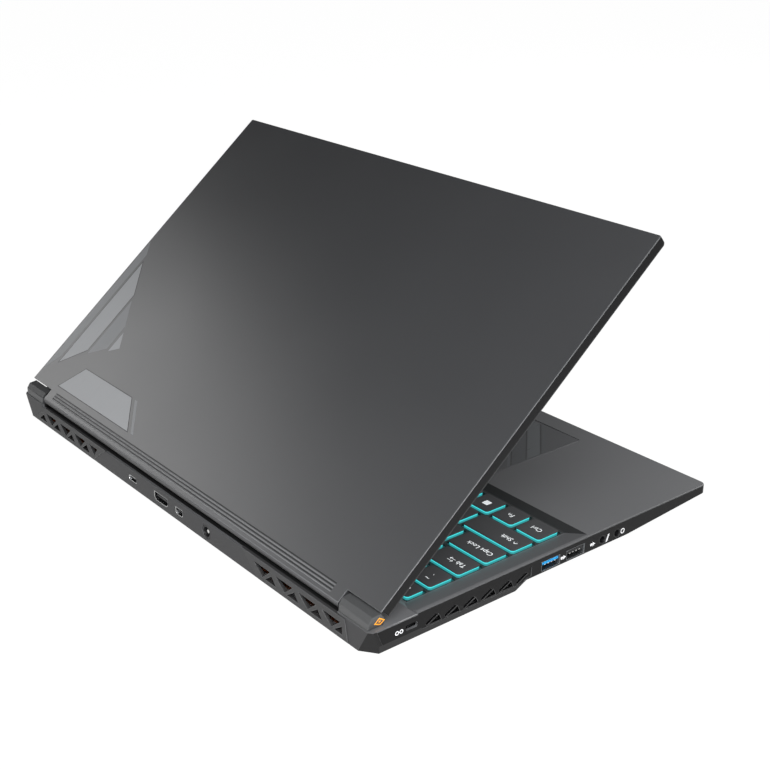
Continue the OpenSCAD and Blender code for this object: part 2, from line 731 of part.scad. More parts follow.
// 3.5 mm socket behind the side wall
module jack(y) {
    x0 = -half_w + wall + 0.05;
    color("#1a1b1c") difference() {
        box([x0, y - 3.2, port_z - 2.6], [x0 + jack_len, y + 3.2, port_z + 2.9]);
        translate([x0 - 1, y, port_z]) rotate([0, 90, 0]) cylinder(r = jack_r, h = jack_len - 0.2);
    }
}

module microphone_jack() {
    jack(mic_y);
}

module headphone_jack() {
    jack(phones_y);
}

module usb_c_port() {
    y1 = rear_y - 0.15;
    color("#8d9094") {
        difference() {
            prism_y(rounded_rect([usb_c_x - 4.6, rear_port_z - 1.7], [usb_c_x + 4.6, rear_port_z + 1.7], 1.6),
                y1 - 8, y1);
            prism_y(rounded_rect([usb_c_x - 4.2, rear_port_z - 1.3], [usb_c_x + 4.2, rear_port_z + 1.3], 1.25),
                y1 - 7, y1 + 1);
        }
        box([usb_c_x - 3.3, y1 - 7.5, rear_port_z - 0.35], [usb_c_x + 3.3, y1 - 1, rear_port_z + 0.35]);
    }
}

module hdmi_port() {
    y1 = rear_y - 0.15;
    color("#8d9094") {
        difference() {
            prism_y([for (p = [[-7.5, 2.8], [-7.5, -1.15], [-5.35, -2.8], [5.35, -2.8], [7.5, -1.15], [7.5, 2.8]])
                [hdmi_x + p[0], rear_port_z + p[1]]], y1 - 11, y1);
            prism_y([for (p = [[-7.1, 2.4], [-7.1, -1], [-5.2, -2.4], [5.2, -2.4], [7.1, -1], [7.1, 2.4]])
                [hdmi_x + p[0], rear_port_z + p[1]]], y1 - 10, y1 + 1);
        }
        box([hdmi_x - 5.6, y1 - 10.5, rear_port_z - 0.4], [hdmi_x + 5.6, y1 - 1, rear_port_z + 0.9]);
    }
}

module mini_displayport() {
    y1 = rear_y - 0.15;
    color("#8d9094") {
        difference() {
            prism_y([for (p = [[-3.8, 2.3], [-3.8, -0.95], [-2.45, -2.3], [2.45, -2.3], [3.8, -0.95], [3.8, 2.3]])
                [mini_dp_x + p[0], rear_port_z + p[1]]], y1 - 9, y1);
            prism_y([for (p = [[-3.4, 1.9], [-3.4, -0.8], [-2.3, -1.9], [2.3, -1.9], [3.4, -0.8], [3.4, 1.9]])
                [mini_dp_x + p[0], rear_port_z + p[1]]], y1 - 8, y1 + 1);
        }
        box([mini_dp_x - 2.4, y1 - 8.5, rear_port_z - 0.3], [mini_dp_x + 2.4, y1 - 1, rear_port_z + 0.6]);
    }
}

// Power socket: round well with a centre pin
module dc_in_socket() {
    y1 = rear_y - 0.15;
    color("#1a1b1c") difference() {
        translate([dc_x, y1 - 12, rear_port_z]) rotate([-90, 0, 0]) cylinder(r = 4, h = 12);
        translate([dc_x, y1 - 10.5, rear_port_z]) rotate([-90, 0, 0]) cylinder(r = 2.8, h = 12);
    }
    color("#c9ccd0") translate([dc_x, y1 - 11, rear_port_z]) rotate([-90, 0, 0]) cylinder(r = 1.25, h = 10);
}

// ---- Feet and screws ----
module rubber_feet() {
    color("#151515") {
        prism_z(rounded_rect([-120, 96], [120, 105], 3), 0, foot_h);
        for (s = [-1, 1]) prism_z(rounded_rect([s * 125 - 22, -88], [s * 125 + 22, -80], 3), 0, foot_h);
        prism_z(rounded_rect([-14, -20], [14, -12], 3), 0, foot_h);
    }
}

module case_screws() {
    color("#2b2c2d") for (p = screw_spots) translate([p[0], p[1], foot_h + 0.1]) {
        difference() {
            cylinder(r = 2.2, h = 0.6, $fn = 24);
            translate([0, 0, -1]) cylinder(r = 0.8, h = 1.35, $fn = 6);
        }
        cylinder(r = 1, h = screw_top_z - foot_h - 0.1, $fn = 24);
    }
}

// ---- Lid: drawn closed and flat, -Y towards its free edge, then turned about the hinge axis ----
module in_lid() {
    translate([0, hinge_y, hinge_z]) rotate([-lid_angle, 0, 0]) children();
}

module lid_outline(inset, tongue_in) {
    w = half_w - inset;
    r = lid_corner_r - inset;
    s1 = lid_len - inset;
    translate([-w, -s1 + r]) square([2 * w, s1 - r]);
    translate([-w + r, -s1]) square([2 * (w - r), r + 1]);
    for (s = [-1, 1]) translate([s * (w - r), -s1 + r]) circle(r);
    translate([-tongue_half + tongue_in, -20]) square([2 * (tongue_half - tongue_in), 20 - tongue_s - tongue_in]);
}

module notch_cuts(r) {
    mirrored_x() {
        translate([tongue_half, 0, 0]) rotate([0, 90, 0]) cylinder(r = r, h = 60);
        box([tongue_half, -r * 0.72, -10], [220, 10, 0]);
    }
}

module tongue_barrel(reach) {
    translate([-reach, 0, 0]) rotate([0, 90, 0]) cylinder(r = tongue_r, h = 2 * reach);
}

module lid_back_cover() {
    seam_t = 1 - lid_in;
    color("#515355") in_lid() difference() {
        union() {
            translate([0, 0, seam_t]) linear_extrude(lid_out - seam_t) lid_outline(0, 0);
            intersection() {
                tongue_barrel(tongue_half);
                box([-200, -2, seam_t], [200, 10, lid_out]);
            }
        }
        mirrored_x() slab([half_w, 0, -lid_in], [half_w - lid_side_in, 0, lid_out], [half_w, -50, -lid_in]);
        difference() {
            translate([0, 0, seam_t - 1]) linear_extrude(lid_out - wall - seam_t + 1) lid_outline(wall, wall);
            mirrored_x() box([tongue_half - wall, -8.5, -10], [220, 10, 10]);
        }
        notch_cuts(notch_r);
        // room for the hinge shafts
        mirrored_x() {
            translate([141, 0, 0]) rotate([0, 90, 0]) cylinder(r = hinge_shaft_r + 0.3, h = 20);
            box([141, -hinge_shaft_r - 0.3, -5], [tongue_half + 1, hinge_shaft_r + 0.3, 0]);
        }
    }
}

module screen_bezel() {
    t0 = -lid_in;
    t1 = 1 - lid_in;
    color("#1b1c1d") in_lid() difference() {
        union() {
            difference() {
                translate([0, 0, t0]) linear_extrude(t1 - t0) lid_outline(0.35, 0.35);
                box([-view_w / 2, -view_s - view_h, -5], [view_w / 2, -view_s, 5]);
            }
            // lower half of the tongue's rounded edge
            intersection() {
                tongue_barrel(tongue_half - 0.4);
                box([-200, -10, -10], [200, 10, t1]);
            }
        }
        translate([-tongue_half - 1, 0, 0]) rotate([0, 90, 0]) cylinder(r = 2, h = 2 * tongue_half + 2);
        notch_cuts(notch_r + 0.2);
        // lens window and two microphone holes
        translate([0, -lid_len + 5.2, -5]) cylinder(r = 1.6, h = 10);
        for (x = [-9, 9]) translate([x, -lid_len + 5.2, -5]) cylinder(r = 0.5, h = 10);
    }
}

module display_panel() {
    t = 1 - lid_in;
    color("#0b0c0e") in_lid() difference() {
        box([-175, -lid_len + 8.2, t + 0.02], [175, -view_s + 9, t + 2.6]);
        box([-172, -lid_len + 11, t + 2.2], [172, -view_s - 4, t + 5]);
    }
}

module webcam_module() {
    t = 1 - lid_in;
    color("#1e1f20") in_lid() {
        box([-32, -lid_len + 2.2, t + 0.02], [32, -lid_len + 8, t + 1]);
        translate([0, -lid_len + 5.2, t - 0.7]) cylinder(r = 1.5, h = 2.6);
    }
}

// Moving leaf: shaft, its block in the tongue and a plate fixed to the back cover
module lid_hinge_arm() {
    color("#9a9c9e") in_lid() {
        translate([142, 0, 0]) rotate([0, 90, 0]) cylinder(r = hinge_shaft_r, h = 30);
        difference() {
            union() {
                box([138, -15.5, 0], [151, 0.8, 1.2]);
                box([138, -15.5, 0], [175, -9.5, 1.2]);
            }
            for (x = [144, 158, 170]) translate([x, -12.5, -1]) cylinder(r = 1.1, h = 4);
        }
    }
}

module lid_hinge_arm_left() {
    mirror([1, 0, 0]) lid_hinge_arm();
}

module lid_hinge_arm_right() {
    lid_hinge_arm();
}

module lid_bumpers() {
    color("#101010") in_lid() {
        for (x = [-120, 120]) prism_z(rounded_rect([x - 9, -lid_len + 2], [x + 9, -lid_len + 4], 0.9),
            -lid_in - 0.35, -lid_in);
        for (x = [-176, 176], y = [-60, -170]) prism_z(rounded_rect([x - 1, y - 8], [x + 1, y + 8], 0.9),
            -lid_in - 0.35, -lid_in);
    }
}

// ---- Moving controls ----
module touchpad() {
    color("#55585a") {
        prism_z(rounded_rect(pad_box[0], pad_box[1], 1.7), pad_top_z - 0.9, pad_top_z);
        prism_z(rounded_rect(pad_box[0] + [1.5, 1.5], pad_box[1] - [1.5, 1.5], 1.7), pad_top_z - 1.9, pad_top_z - 0.9);
    }
}

module key_group(rects) {
    color("#36383a") keycaps(rects);
}

module esc_key() {
    key_group([function_row[0]]);
}

module tab_key() {
    key_group([upper_row[0]]);
}

module caps_lock_key() {
    key_group([home_row[0]]);
}

module left_shift_key() {
    key_group([lower_row[0]]);
}

module left_ctrl_key() {
    key_group([bottom_row[0]]);
}

module fn_key() {
    key_group([bottom_row[1]]);
}

module meta_key() {
    key_group([bottom_row[2]]);
}

module space_bar() {
    key_group([bottom_row[space_index]]);
}

module power_key() {
    key_group([pad_function[3]]);
}

module function_keys() {
    key_group(concat(slice(function_row, 1, 14), slice(pad_function, 0, 2)));
}

module number_keys() {
    key_group(number_row);
}

module upper_letter_keys() {
    key_group(slice(upper_row, 1, len(upper_row) - 1));
}

module home_letter_keys() {
    key_group(slice(home_row, 1, len(home_row) - 1));
}

module lower_letter_keys() {
    key_group(slice(lower_row, 1, len(lower_row) - 1));
}

module bottom_row_keys() {
    key_group(concat([bottom_row[3]], slice(bottom_row, space_index + 1, len(bottom_row) - 1)));
}

module keypad_keys() {
    key_group(keypad);
}

top_case();
bottom_cover();
rear_vent_left();
rear_vent_right();
side_vent_left();
side_vent_right();
hinge_cover_left();
hinge_cover_right();
hinge_bracket_left();
hinge_bracket_right();
keyboard_web();
keyboard_backplate();
battery();
mainboard();
heatsink();
fan_housing_left();
fan_housing_right();
speakers();
ssd();
memory_modules();
wireless_card();
usb_a_port_front();
usb_a_port_rear();
usb_a_port_right();
card_reader();
microphone_jack();
headphone_jack();
usb_c_port();
hdmi_port();
mini_displayport();
dc_in_socket();
rubber_feet();
case_screws();
lid_back_cover();
screen_bezel();
display_panel();
webcam_module();
lid_hinge_arm_left();
lid_hinge_arm_right();
lid_bumpers();
touchpad();
fan_wheel_left();
fan_wheel_right();
esc_key();
tab_key();
caps_lock_key();
left_shift_key();
left_ctrl_key();
fn_key();
meta_key();
space_bar();
power_key();
function_keys();
number_keys();
upper_letter_keys();
home_letter_keys();
lower_letter_keys();
bottom_row_keys();
keypad_keys();
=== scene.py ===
"""Looks of an open gaming laptop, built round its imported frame. Metres, X to the user's right, Z up."""

import json
import math

import bmesh
import bpy
from mathutils import Matrix, Vector


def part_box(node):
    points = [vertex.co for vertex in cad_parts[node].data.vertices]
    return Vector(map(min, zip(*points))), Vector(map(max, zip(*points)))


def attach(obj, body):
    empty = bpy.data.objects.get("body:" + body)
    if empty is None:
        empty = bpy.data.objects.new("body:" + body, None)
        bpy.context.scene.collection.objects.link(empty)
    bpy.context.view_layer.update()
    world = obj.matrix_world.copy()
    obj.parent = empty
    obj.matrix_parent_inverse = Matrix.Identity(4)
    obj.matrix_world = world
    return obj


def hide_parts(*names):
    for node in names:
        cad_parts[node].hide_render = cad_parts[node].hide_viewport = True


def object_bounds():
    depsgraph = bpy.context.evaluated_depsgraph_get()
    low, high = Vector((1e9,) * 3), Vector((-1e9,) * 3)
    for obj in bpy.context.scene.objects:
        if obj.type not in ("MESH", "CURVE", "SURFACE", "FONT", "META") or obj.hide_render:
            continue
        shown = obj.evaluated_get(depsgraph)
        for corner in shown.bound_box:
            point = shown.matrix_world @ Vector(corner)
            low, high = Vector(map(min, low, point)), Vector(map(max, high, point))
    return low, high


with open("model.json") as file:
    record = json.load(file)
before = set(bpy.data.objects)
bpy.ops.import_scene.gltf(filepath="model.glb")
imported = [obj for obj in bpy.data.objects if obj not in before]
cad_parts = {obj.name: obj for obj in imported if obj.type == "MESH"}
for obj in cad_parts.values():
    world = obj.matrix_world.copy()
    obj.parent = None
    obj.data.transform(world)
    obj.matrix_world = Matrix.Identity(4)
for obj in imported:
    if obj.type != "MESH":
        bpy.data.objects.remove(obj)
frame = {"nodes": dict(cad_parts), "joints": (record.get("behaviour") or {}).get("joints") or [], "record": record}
cad_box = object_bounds()

MM = 0.001
NODES = frame["nodes"]
BODY_OF = {node: body for body, nodes in frame["record"]["behaviour"]["bodies"].items() for node in nodes}
JOINTS = {joint["name"]: joint for joint in frame["joints"]}

# The lid's own axes, turned to its open angle: x across, y down the lid from the hinge axis, z outwards
HINGE = Vector(JOINTS["lid_hinge"]["pos_m"])
LID_ANGLE = math.radians(-JOINTS["lid_hinge"]["range_deg"][0])
LID = Matrix.Translation(HINGE) @ Matrix.Rotation(-LID_ANGLE, 4, "X")
LID_OUT = 3.4 * MM
LID_IN = -1.9 * MM
TONGUE_HALF = 154 * MM
HALF_WIDTH = cad_box[1].x
DECK_Z = 15.5 * MM
HINGE_DECK_Z = 14.7 * MM
WELL_Z = 13.9 * MM
FOOT_Z = 1.5 * MM
PORT_Z = 9.7 * MM
# How far a print stands off its ground, and how close two points have to be to count as level or as one
LIFT = 0.02 * MM
NEAR = 0.02 * MM
WELD = 0.002 * MM


def wall_axes(x, y, place):
    """Axes of a wall as an onlooker sees it: x to the right, y up, z towards the onlooker."""
    right, up = Vector(x), Vector(y)
    turn = Matrix((right, up, right.cross(up))).transposed().to_4x4()
    return Matrix.Translation(place) @ turn


LEFT_WALL = wall_axes((0, -1, 0), (0, 0, 1), (cad_box[0].x, 0, 0))
RIGHT_WALL = wall_axes((0, 1, 0), (0, 0, 1), (cad_box[1].x, 0, 0))


# ---- Camera ----
CAMERA_PLACE = Vector((-0.58292, 0.43497, 0.35175))
CAMERA_AIM = Vector((-0.0228, -0.0165, 0.0504))
CAMERA_LENS = 62.42
SENSOR_WIDTH = 36


def add_camera():
    data = bpy.data.cameras.new("camera")
    data.lens = CAMERA_LENS
    data.sensor_width = SENSOR_WIDTH
    camera = bpy.data.objects.new("camera", data)
    camera.location = CAMERA_PLACE
    camera.rotation_mode = "QUATERNION"
    camera.rotation_quaternion = (CAMERA_AIM - CAMERA_PLACE).to_track_quat("-Z", "Y")
    bpy.context.scene.collection.objects.link(camera)
    bpy.context.scene.camera = camera


add_camera()


# ---- Shader writing ----
class Value:
    """A shader socket; an operator on it adds the Math node that it stands for."""

    def __init__(self, paint, socket):
        self.paint = paint
        self.socket = socket

    def math(self, operation, first, second):
        return self.paint.add("ShaderNodeMath", {"operation": operation}, {0: first, 1: second})

    def most(self, other):
        return self.math("MAXIMUM", self, other)

    def __add__(self, other):
        return self.math("ADD", self, other)

    def __radd__(self, other):
        return self.math("ADD", other, self)

    def __sub__(self, other):
        return self.math("SUBTRACT", self, other)

    def __rsub__(self, other):
        return self.math("SUBTRACT", other, self)

    def __mul__(self, other):
        return self.math("MULTIPLY", self, other)

    def __rmul__(self, other):
        return self.math("MULTIPLY", other, self)

    def __truediv__(self, other):
        return self.math("DIVIDE", self, other)

    def clamped(self):
        return self.paint.add("ShaderNodeClamp", {}, {"Value": self})

    def step(self, low, high):
        """0 below low, 1 above high, smooth between."""
        settings = {"interpolation_type": "SMOOTHSTEP"}
        values = {"Value": self, "From Min": low, "From Max": high}
        return self.paint.add("ShaderNodeMapRange", settings, values)


MIX_FACTOR, MIX_FIRST, MIX_SECOND, MIX_RESULT = 0, 6, 7, 2


class Paint:
    """A material being written. What is the same all over is set on the shader's own sockets."""

    def __init__(self, name, **fixed):
        self.material = bpy.data.materials.new(name)
        self.material.use_nodes = True
        self.tree = self.material.node_tree
        self.shader = self.tree.nodes["Principled BSDF"]
        for socket, value in fixed.items():
            self.shader.inputs[socket.replace("_", " ")].default_value = value

    def add(self, kind, settings, values, out=0):
        node = self.tree.nodes.new(kind)
        for name, setting in settings.items():
            setattr(node, name, setting)
        for name, value in values.items():
            self.feed(node.inputs[name], value)
        return Value(self, node.outputs[out])

    def feed(self, socket, value):
        if isinstance(value, Value):
            self.tree.links.new(value.socket, socket)
        else:
            socket.default_value = value

    def set(self, socket, value):
        self.feed(self.shader.inputs[socket], value)

    def place(self, scale=(1, 1, 1)):
        """Object coordinates in millimetres, stretched."""
        at = self.add("ShaderNodeTexCoord", {}, {}, "Object")
        return self.add("ShaderNodeMapping", {}, {"Vector": at, "Scale": [share / MM for share in scale]})

    def noise(self, scale, detail=3.0, roughness=0.5, at=None):
        values = {"Vector": at or self.place(), "Scale": scale, "Detail": detail, "Roughness": roughness}
        return self.add("ShaderNodeTexNoise", {}, values, "Fac")

    def mix(self, factor, first, second):
        """A mix of two colours; the node's colour sockets share their names, so they go by number."""
        values = {MIX_FACTOR: factor, MIX_FIRST: (*first, 1.0), MIX_SECOND: (*second, 1.0)}
        return self.add("ShaderNodeMix", {"data_type": "RGBA"}, values, MIX_RESULT)

    def bump(self, height, strength, distance):
        values = {"Height": height, "Strength": strength, "Distance": distance}
        self.set("Normal", self.add("ShaderNodeBump", {}, values))


def scaled(shade, share):
    """A colour made lighter or darker."""
    return [part * share for part in shade]


def linear(level):
    """Linear light of a display level from 0 to 255."""
    part = level / 255
    if part <= 0.04045:
        return part / 12.92
    return ((part + 0.055) / 1.055) ** 2.4


def display(red, green, blue):
    return (linear(red), linear(green), linear(blue))


def lacquer(name, shade, rough, fleck=0.06, grain=0.12, gloss=1.6):
    """Sprayed plastic: a fine metallic fleck, a soft orange-peel bump and faint cloudiness."""
    paint = Paint(name, IOR=gloss)
    cloud = paint.noise(0.012, 2.0)
    spark = paint.noise(5.0, 1.0)
    tone = (cloud - 0.5) * fleck + (spark - 0.5) * fleck
    dark = scaled(shade, 1 - 1.6 * fleck)
    light = scaled(shade, 1 + 1.6 * fleck)
    paint.set("Base Color", paint.mix((tone / (2 * fleck) + 0.5).clamped(), dark, light))
    paint.set("Roughness", (cloud - 0.5) * 0.06 + (spark - 0.5) * 0.05 + rough)
    paint.bump(paint.noise(2.2, 3.0), grain, 0.02 * MM)
    return paint.material


def moulded(name, shade, rough, grain=0.35, size=1.6, specular=0.4):
    """Moulded plastic with a spark-eroded grain."""
    paint = Paint(name, Specular_IOR_Level=specular)
    pits = paint.noise(size, 4.0, 0.6)
    cloud = paint.noise(0.03, 2.0)
    factor = (pits * 0.6 + cloud * 0.4).clamped()
    paint.set("Base Color", paint.mix(factor, scaled(shade, 0.86), scaled(shade, 1.12)))
    paint.set("Roughness", (cloud - 0.5) * 0.1 + rough)
    paint.bump(pits, grain, 0.03 * MM)
    return paint.material


def brushed(name, shade, rough, along=(0.04, 1, 1)):
    """Metal drawn in one direction."""
    paint = Paint(name, Metallic=1.0)
    streak = paint.noise(3.0, 4.0, 0.6, paint.place(along))
    paint.set("Base Color", paint.mix(streak, scaled(shade, 0.8), shade))
    paint.set("Roughness", (streak - 0.5) * 0.2 + rough)
    paint.bump(streak, 0.15, 0.01 * MM)
    return paint.material


def glowing(name, shade, low_z, high_z):
    """Lit plastic, brightest at the top of its lit band."""
    paint = Paint(name, Roughness=0.5, Emission_Strength=1.2, Base_Color=(0.02, 0.05, 0.05, 1))
    at = paint.add("ShaderNodeTexCoord", {}, {}, "Object")
    height = paint.add("ShaderNodeSeparateXYZ", {}, {"Vector": at}, "Z")
    factor = height.step(low_z, high_z)
    paint.set("Emission Color", paint.mix(factor, scaled(shade, 0.35), scaled(shade, 1.15)))
    return paint.material


def satin_band(name, shade, rough=0.3):
    """Printed metallic lacquer with a fine drawn streak."""
    paint = Paint(name, Metallic=0.15)
    streak = paint.noise(1.2, 3.0, 0.6, paint.place((1, 0.03, 0.03)))
    paint.set("Base Color", paint.mix(streak, scaled(shade, 0.9), shade))
    paint.set("Roughness", (streak - 0.5) * 0.12 + rough)
    return paint.material


def ink(name, shade, rough=0.45, lit=0.0):
    """Printed marking; lit makes it glow, the keyboard's backlight in the legends and a painted glow in the marks
    on the wall and the hinge cover.
    """
    paint = Paint(name, Roughness=rough, Emission_Strength=lit, Emission_Color=(*shade, 1))
    patch = paint.noise(3.0, 2.0)
    paint.set("Base Color", paint.mix(patch, scaled(shade, 0.92), shade))
    return paint.material


CYAN = display(70, 222, 226)
MATERIALS = {
    "shell": lacquer("base_lacquer", display(97, 98, 100), 0.45),
    "lid_shell": lacquer("lid_lacquer", display(62, 63, 65), 0.32, gloss=1.95),
    # The rear outlets' lacquer is painted darker than the base's: painted shade on the rear-facing outlets.
    "rear_grille": lacquer("outlet_painted_shade", display(54, 54, 55), 0.5, gloss=1.5),
    "side_grille": moulded("side_outlet_plastic", display(16, 16, 17), 0.5, specular=0.2),
    "hinge_shell": lacquer("hinge_lacquer", display(74, 75, 76), 0.42),
    "bezel": moulded("bezel_plastic", display(50, 50, 51), 0.5),
    "key_plastic": moulded("key_plastic", display(64, 65, 67), 0.55, 0.25, 3.0),
    "key_frame": moulded("key_frame_plastic", display(44, 45, 46), 0.55),
    "pad_surface": lacquer("touchpad_lacquer", display(92, 93, 95), 0.3),
    "key_plate": brushed("key_plate_metal", (0.3, 0.31, 0.32), 0.45),
    "hinge_steel": brushed("hinge_steel", (0.42, 0.43, 0.44), 0.35),
    "port_steel": brushed("port_steel", (0.55, 0.56, 0.58), 0.28),
    "screw_steel": brushed("screw_steel", (0.06, 0.06, 0.065), 0.4),
    "port_black": moulded("port_black_plastic", display(24, 24, 26), 0.45),
    "port_blue": moulded("port_blue_plastic", display(16, 168, 240), 0.4),
    "battery_wrap": moulded("battery_wrap", display(30, 30, 32), 0.4, 0.1),
    "board": moulded("board_mask", display(20, 62, 40), 0.35, 0.2),
    "copper": brushed("copper", (0.62, 0.29, 0.16), 0.35),
    "fan_plastic": moulded("fan_plastic", display(32, 32, 34), 0.5),
    "rubber": moulded("foot_rubber", display(26, 26, 26), 0.8, 0.5),
    "screen": lacquer("screen_glass", display(14, 14, 16), 0.26, 0.02, 0.03),
}
# The lid cover's rounded edges are lighter than its lacquer: a painted highlight along the edge.
LID_EDGE_HIGHLIGHT = lacquer("lid_edge_painted_highlight", display(104, 105, 107), 0.3)
# The bezel's rounded edge is lighter than the bezel: a painted highlight.
BEZEL_EDGE_HIGHLIGHT = moulded("bezel_edge_painted_highlight", display(62, 62, 63), 0.4)
LENS_GLASS = lacquer("lens_glass", display(10, 10, 16), 0.06, 0.02, 0.0)
# The deck's outer edge, its step down to the hinge deck and the touchpad's edge are rounded in a colour of their
# own: a painted highlight line.
DECK_EDGE_HIGHLIGHT = lacquer("deck_edge_painted_highlight", display(84, 85, 87), 0.45)
# The rear wall's top edge and the rear outlets' edges are rounded in a lighter lacquer: a painted highlight.
WALL_EDGE_HIGHLIGHT = lacquer("rear_wall_edge_painted_highlight", display(78, 79, 80), 0.4)
# The side outlets' rounded edges are far lighter than their dark plastic: a painted highlight.
FIN_EDGE_HIGHLIGHT = moulded("side_outlet_edge_painted_highlight", display(66, 66, 67), 0.45)
SIDE_PLASTIC = moulded("side_wall_plastic", display(16, 16, 17), 0.5, specular=0.2)
# The bottom cover's sides and corner facets are painted near black though the cover is one lacquer: painted shade.
LOW_SIDE_PAINTED_SHADE = lacquer("low_side_painted_shade", display(19, 19, 20), 0.5, gloss=1.35)
# The rear wall is painted darker than the rest of the cover's lacquer: painted shade on the faces turned
# backwards.
REAR_WALL_PAINTED_SHADE = lacquer("rear_wall_painted_shade", display(47, 47, 49), 0.5, gloss=1.5)
BARREL_LACQUER = lacquer("barrel_lacquer", display(72, 72, 74), 0.45)
LID_SIDE_PLASTIC = moulded("lid_side_plastic", display(22, 22, 23), 0.5, specular=0.25)
# The slope in front of the keys is painted dark: painted shade in the keyboard's well.
SLOPE_PAINTED_SHADE = moulded("well_front_painted_shade", display(42, 43, 44), 0.5)
# The sloped sides of the keyboard's well are a darker copy of the deck's lacquer: painted shade.
RIM_PAINTED_SHADE = lacquer("well_side_painted_shade", display(84, 85, 87), 0.45)
# The trough under the lid's tongue is painted near black: painted shade in the gap.
TROUGH_PAINTED_SHADE = moulded("trough_painted_shade", display(22, 22, 23), 0.6)
GLOW = glowing("key_glow", CYAN, WELL_Z - 0.3 * MM, DECK_Z - 0.7 * MM)
WHITE_INK = ink("legend_ink", display(236, 240, 242), 0.5, 0.45)
# The marks beside the sockets and on the hinge cover glow though nothing lights them: a painted glow.
MARK_INK_PAINTED_GLOW = ink("port_mark_ink_painted_glow", display(232, 233, 235), 0.45, 0.35)
ORANGE_INK_PAINTED_GLOW = ink("orange_ink_painted_glow", display(250, 165, 40), 0.4, 0.5)
PIN_STEEL_AND_LIP_HIGHLIGHT = brushed("pin_steel_and_lip_highlight", (0.8, 0.8, 0.78), 0.25)
SILVER_BAND = satin_band("silver_band", display(158, 160, 163))
GREY_BAND = satin_band("grey_band", display(130, 132, 135))
DARK_LINE = satin_band("dark_line", display(40, 41, 42))
# The lid's ribs are lighter than the lid, a painted highlight, and the strips beside them darker, a painted
# shadow.
RIB_HIGHLIGHT = satin_band("rib_painted_highlight", display(132, 133, 135))
RIB_PAINTED_SHADOW = satin_band("rib_painted_shadow", display(46, 47, 48), 0.45)
STEEL_PAINTED_SHADE = brushed("steel_painted_shade", (0.26, 0.27, 0.28), 0.4)
PAD_BAND = satin_band("pad_band", display(112, 115, 117))
PAD_BAND_DIM = satin_band("pad_band_dim", display(102, 104, 106))
PAD_LINE = satin_band("pad_line", display(66, 67, 68))


def paint_nodes():
    for row in frame["record"]["subparts"]:
        for slot in NODES[row["node"]].material_slots:
            slot.material = MATERIALS[row["material_slot"]]


# ---- Pieces ----
def finished(name, mesh, body, materials, sharp=35.0):
    """A piece that rides on a body, smooth except at edges sharper than the angle given in degrees."""
    piece = bpy.data.objects.new(name, mesh)
    bpy.context.scene.collection.objects.link(piece)
    for material in materials:
        mesh.materials.append(material)
    mesh.shade_smooth()
    mesh.set_sharp_from_angle(angle=math.radians(sharp))
    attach(piece, body)
    return piece


def evaluated(name, piece):
    """The piece's mesh with its modifiers applied; the piece itself is removed."""
    graph = bpy.context.evaluated_depsgraph_get()
    mesh = bpy.data.meshes.new_from_object(piece.evaluated_get(graph))
    mesh.name = name
    bpy.data.objects.remove(piece)
    return mesh


LEAST_BEND = 0.05 * MM


def outline(low, high, radius, inset, corner_steps):
    """Points round a rectangle with round corners, anticlockwise, moved inwards by inset."""
    points = []
    bend = max(radius - inset, LEAST_BEND)
    corners = [(high.x, high.y, 0), (low.x, high.y, 90), (low.x, low.y, 180), (high.x, low.y, 270)]
    for x, y, start in corners:
        centre_x = x - math.copysign(inset + bend, x - low.x - (high.x - low.x) / 2)
        centre_y = y - math.copysign(inset + bend, y - low.y - (high.y - low.y) / 2)
        for i in range(corner_steps + 1):
            turn = math.radians(start + 90 * i / corner_steps)
            points.append((centre_x + bend * math.cos(turn), centre_y + bend * math.sin(turn)))
    return points


def loft(work, rings, materials, around=False):
    """Walls between rings of points, closed at both ends, or around from the last ring to the first.

    materials holds one index for each wall and one for the top.
    """
    loops = [[work.verts.new(point) for point in ring] for ring in rings]
    if around:
        loops.append(loops[0])
    for wall, (lower, upper) in enumerate(zip(loops, loops[1:])):
        for i in range(len(lower)):
            j = (i + 1) % len(lower)
            face = work.faces.new((lower[i], lower[j], upper[j], upper[i]))
            face.material_index = materials[wall]
    if around:
        return
    work.faces.new(list(reversed(loops[0]))).material_index = materials[0]
    work.faces.new(loops[-1]).material_index = materials[-1]


# ---- Shells ----
# The least turn of an edge that is rounded, the most by which one flat face may turn, and the least area of
# a big face, which is shaded flat so that the rounding beside it does not bend its light
CORNER = math.radians(20)
FLAT_TURN = math.radians(0.5)
FLAT_AREA = 20 * MM * MM
ROUNDING_STEPS = 2
# Edges of a shell sharper than this, in degrees, are shaded sharp
SHELL_SHARP = 28
# Width of the rounding of each node's edges; both sides of a pair have the same
ROUNDING = {
    "lid_back_cover": 0.33 * MM,
    "screen_bezel": 0.25 * MM,
    "top_case": 0.55 * MM,
    "bottom_cover": 0.3 * MM,
    "hinge_cover": 0.4 * MM,
    "rear_vent": 0.25 * MM,
    "side_vent": 0.2 * MM,
    "touchpad": 0.2 * MM,
    "rubber_feet": 0.5 * MM,
    "usb_c_port": 0.14 * MM,
    "hdmi_port": 0.14 * MM,
    "mini_displayport": 0.14 * MM,
    "dc_in_socket": 0.25 * MM,
}


def whole(node):
    """A CAD node's mesh with its loose triangles joined into whole flat faces."""
    work = bmesh.new()
    work.from_mesh(NODES[node].data)
    bmesh.ops.remove_doubles(work, verts=work.verts, dist=WELD)
    bmesh.ops.dissolve_limit(work, angle_limit=FLAT_TURN, verts=work.verts, edges=work.edges)
    return work


def is_corner(edge):
    return edge.is_manifold and edge.is_convex and edge.calc_face_angle() > CORNER


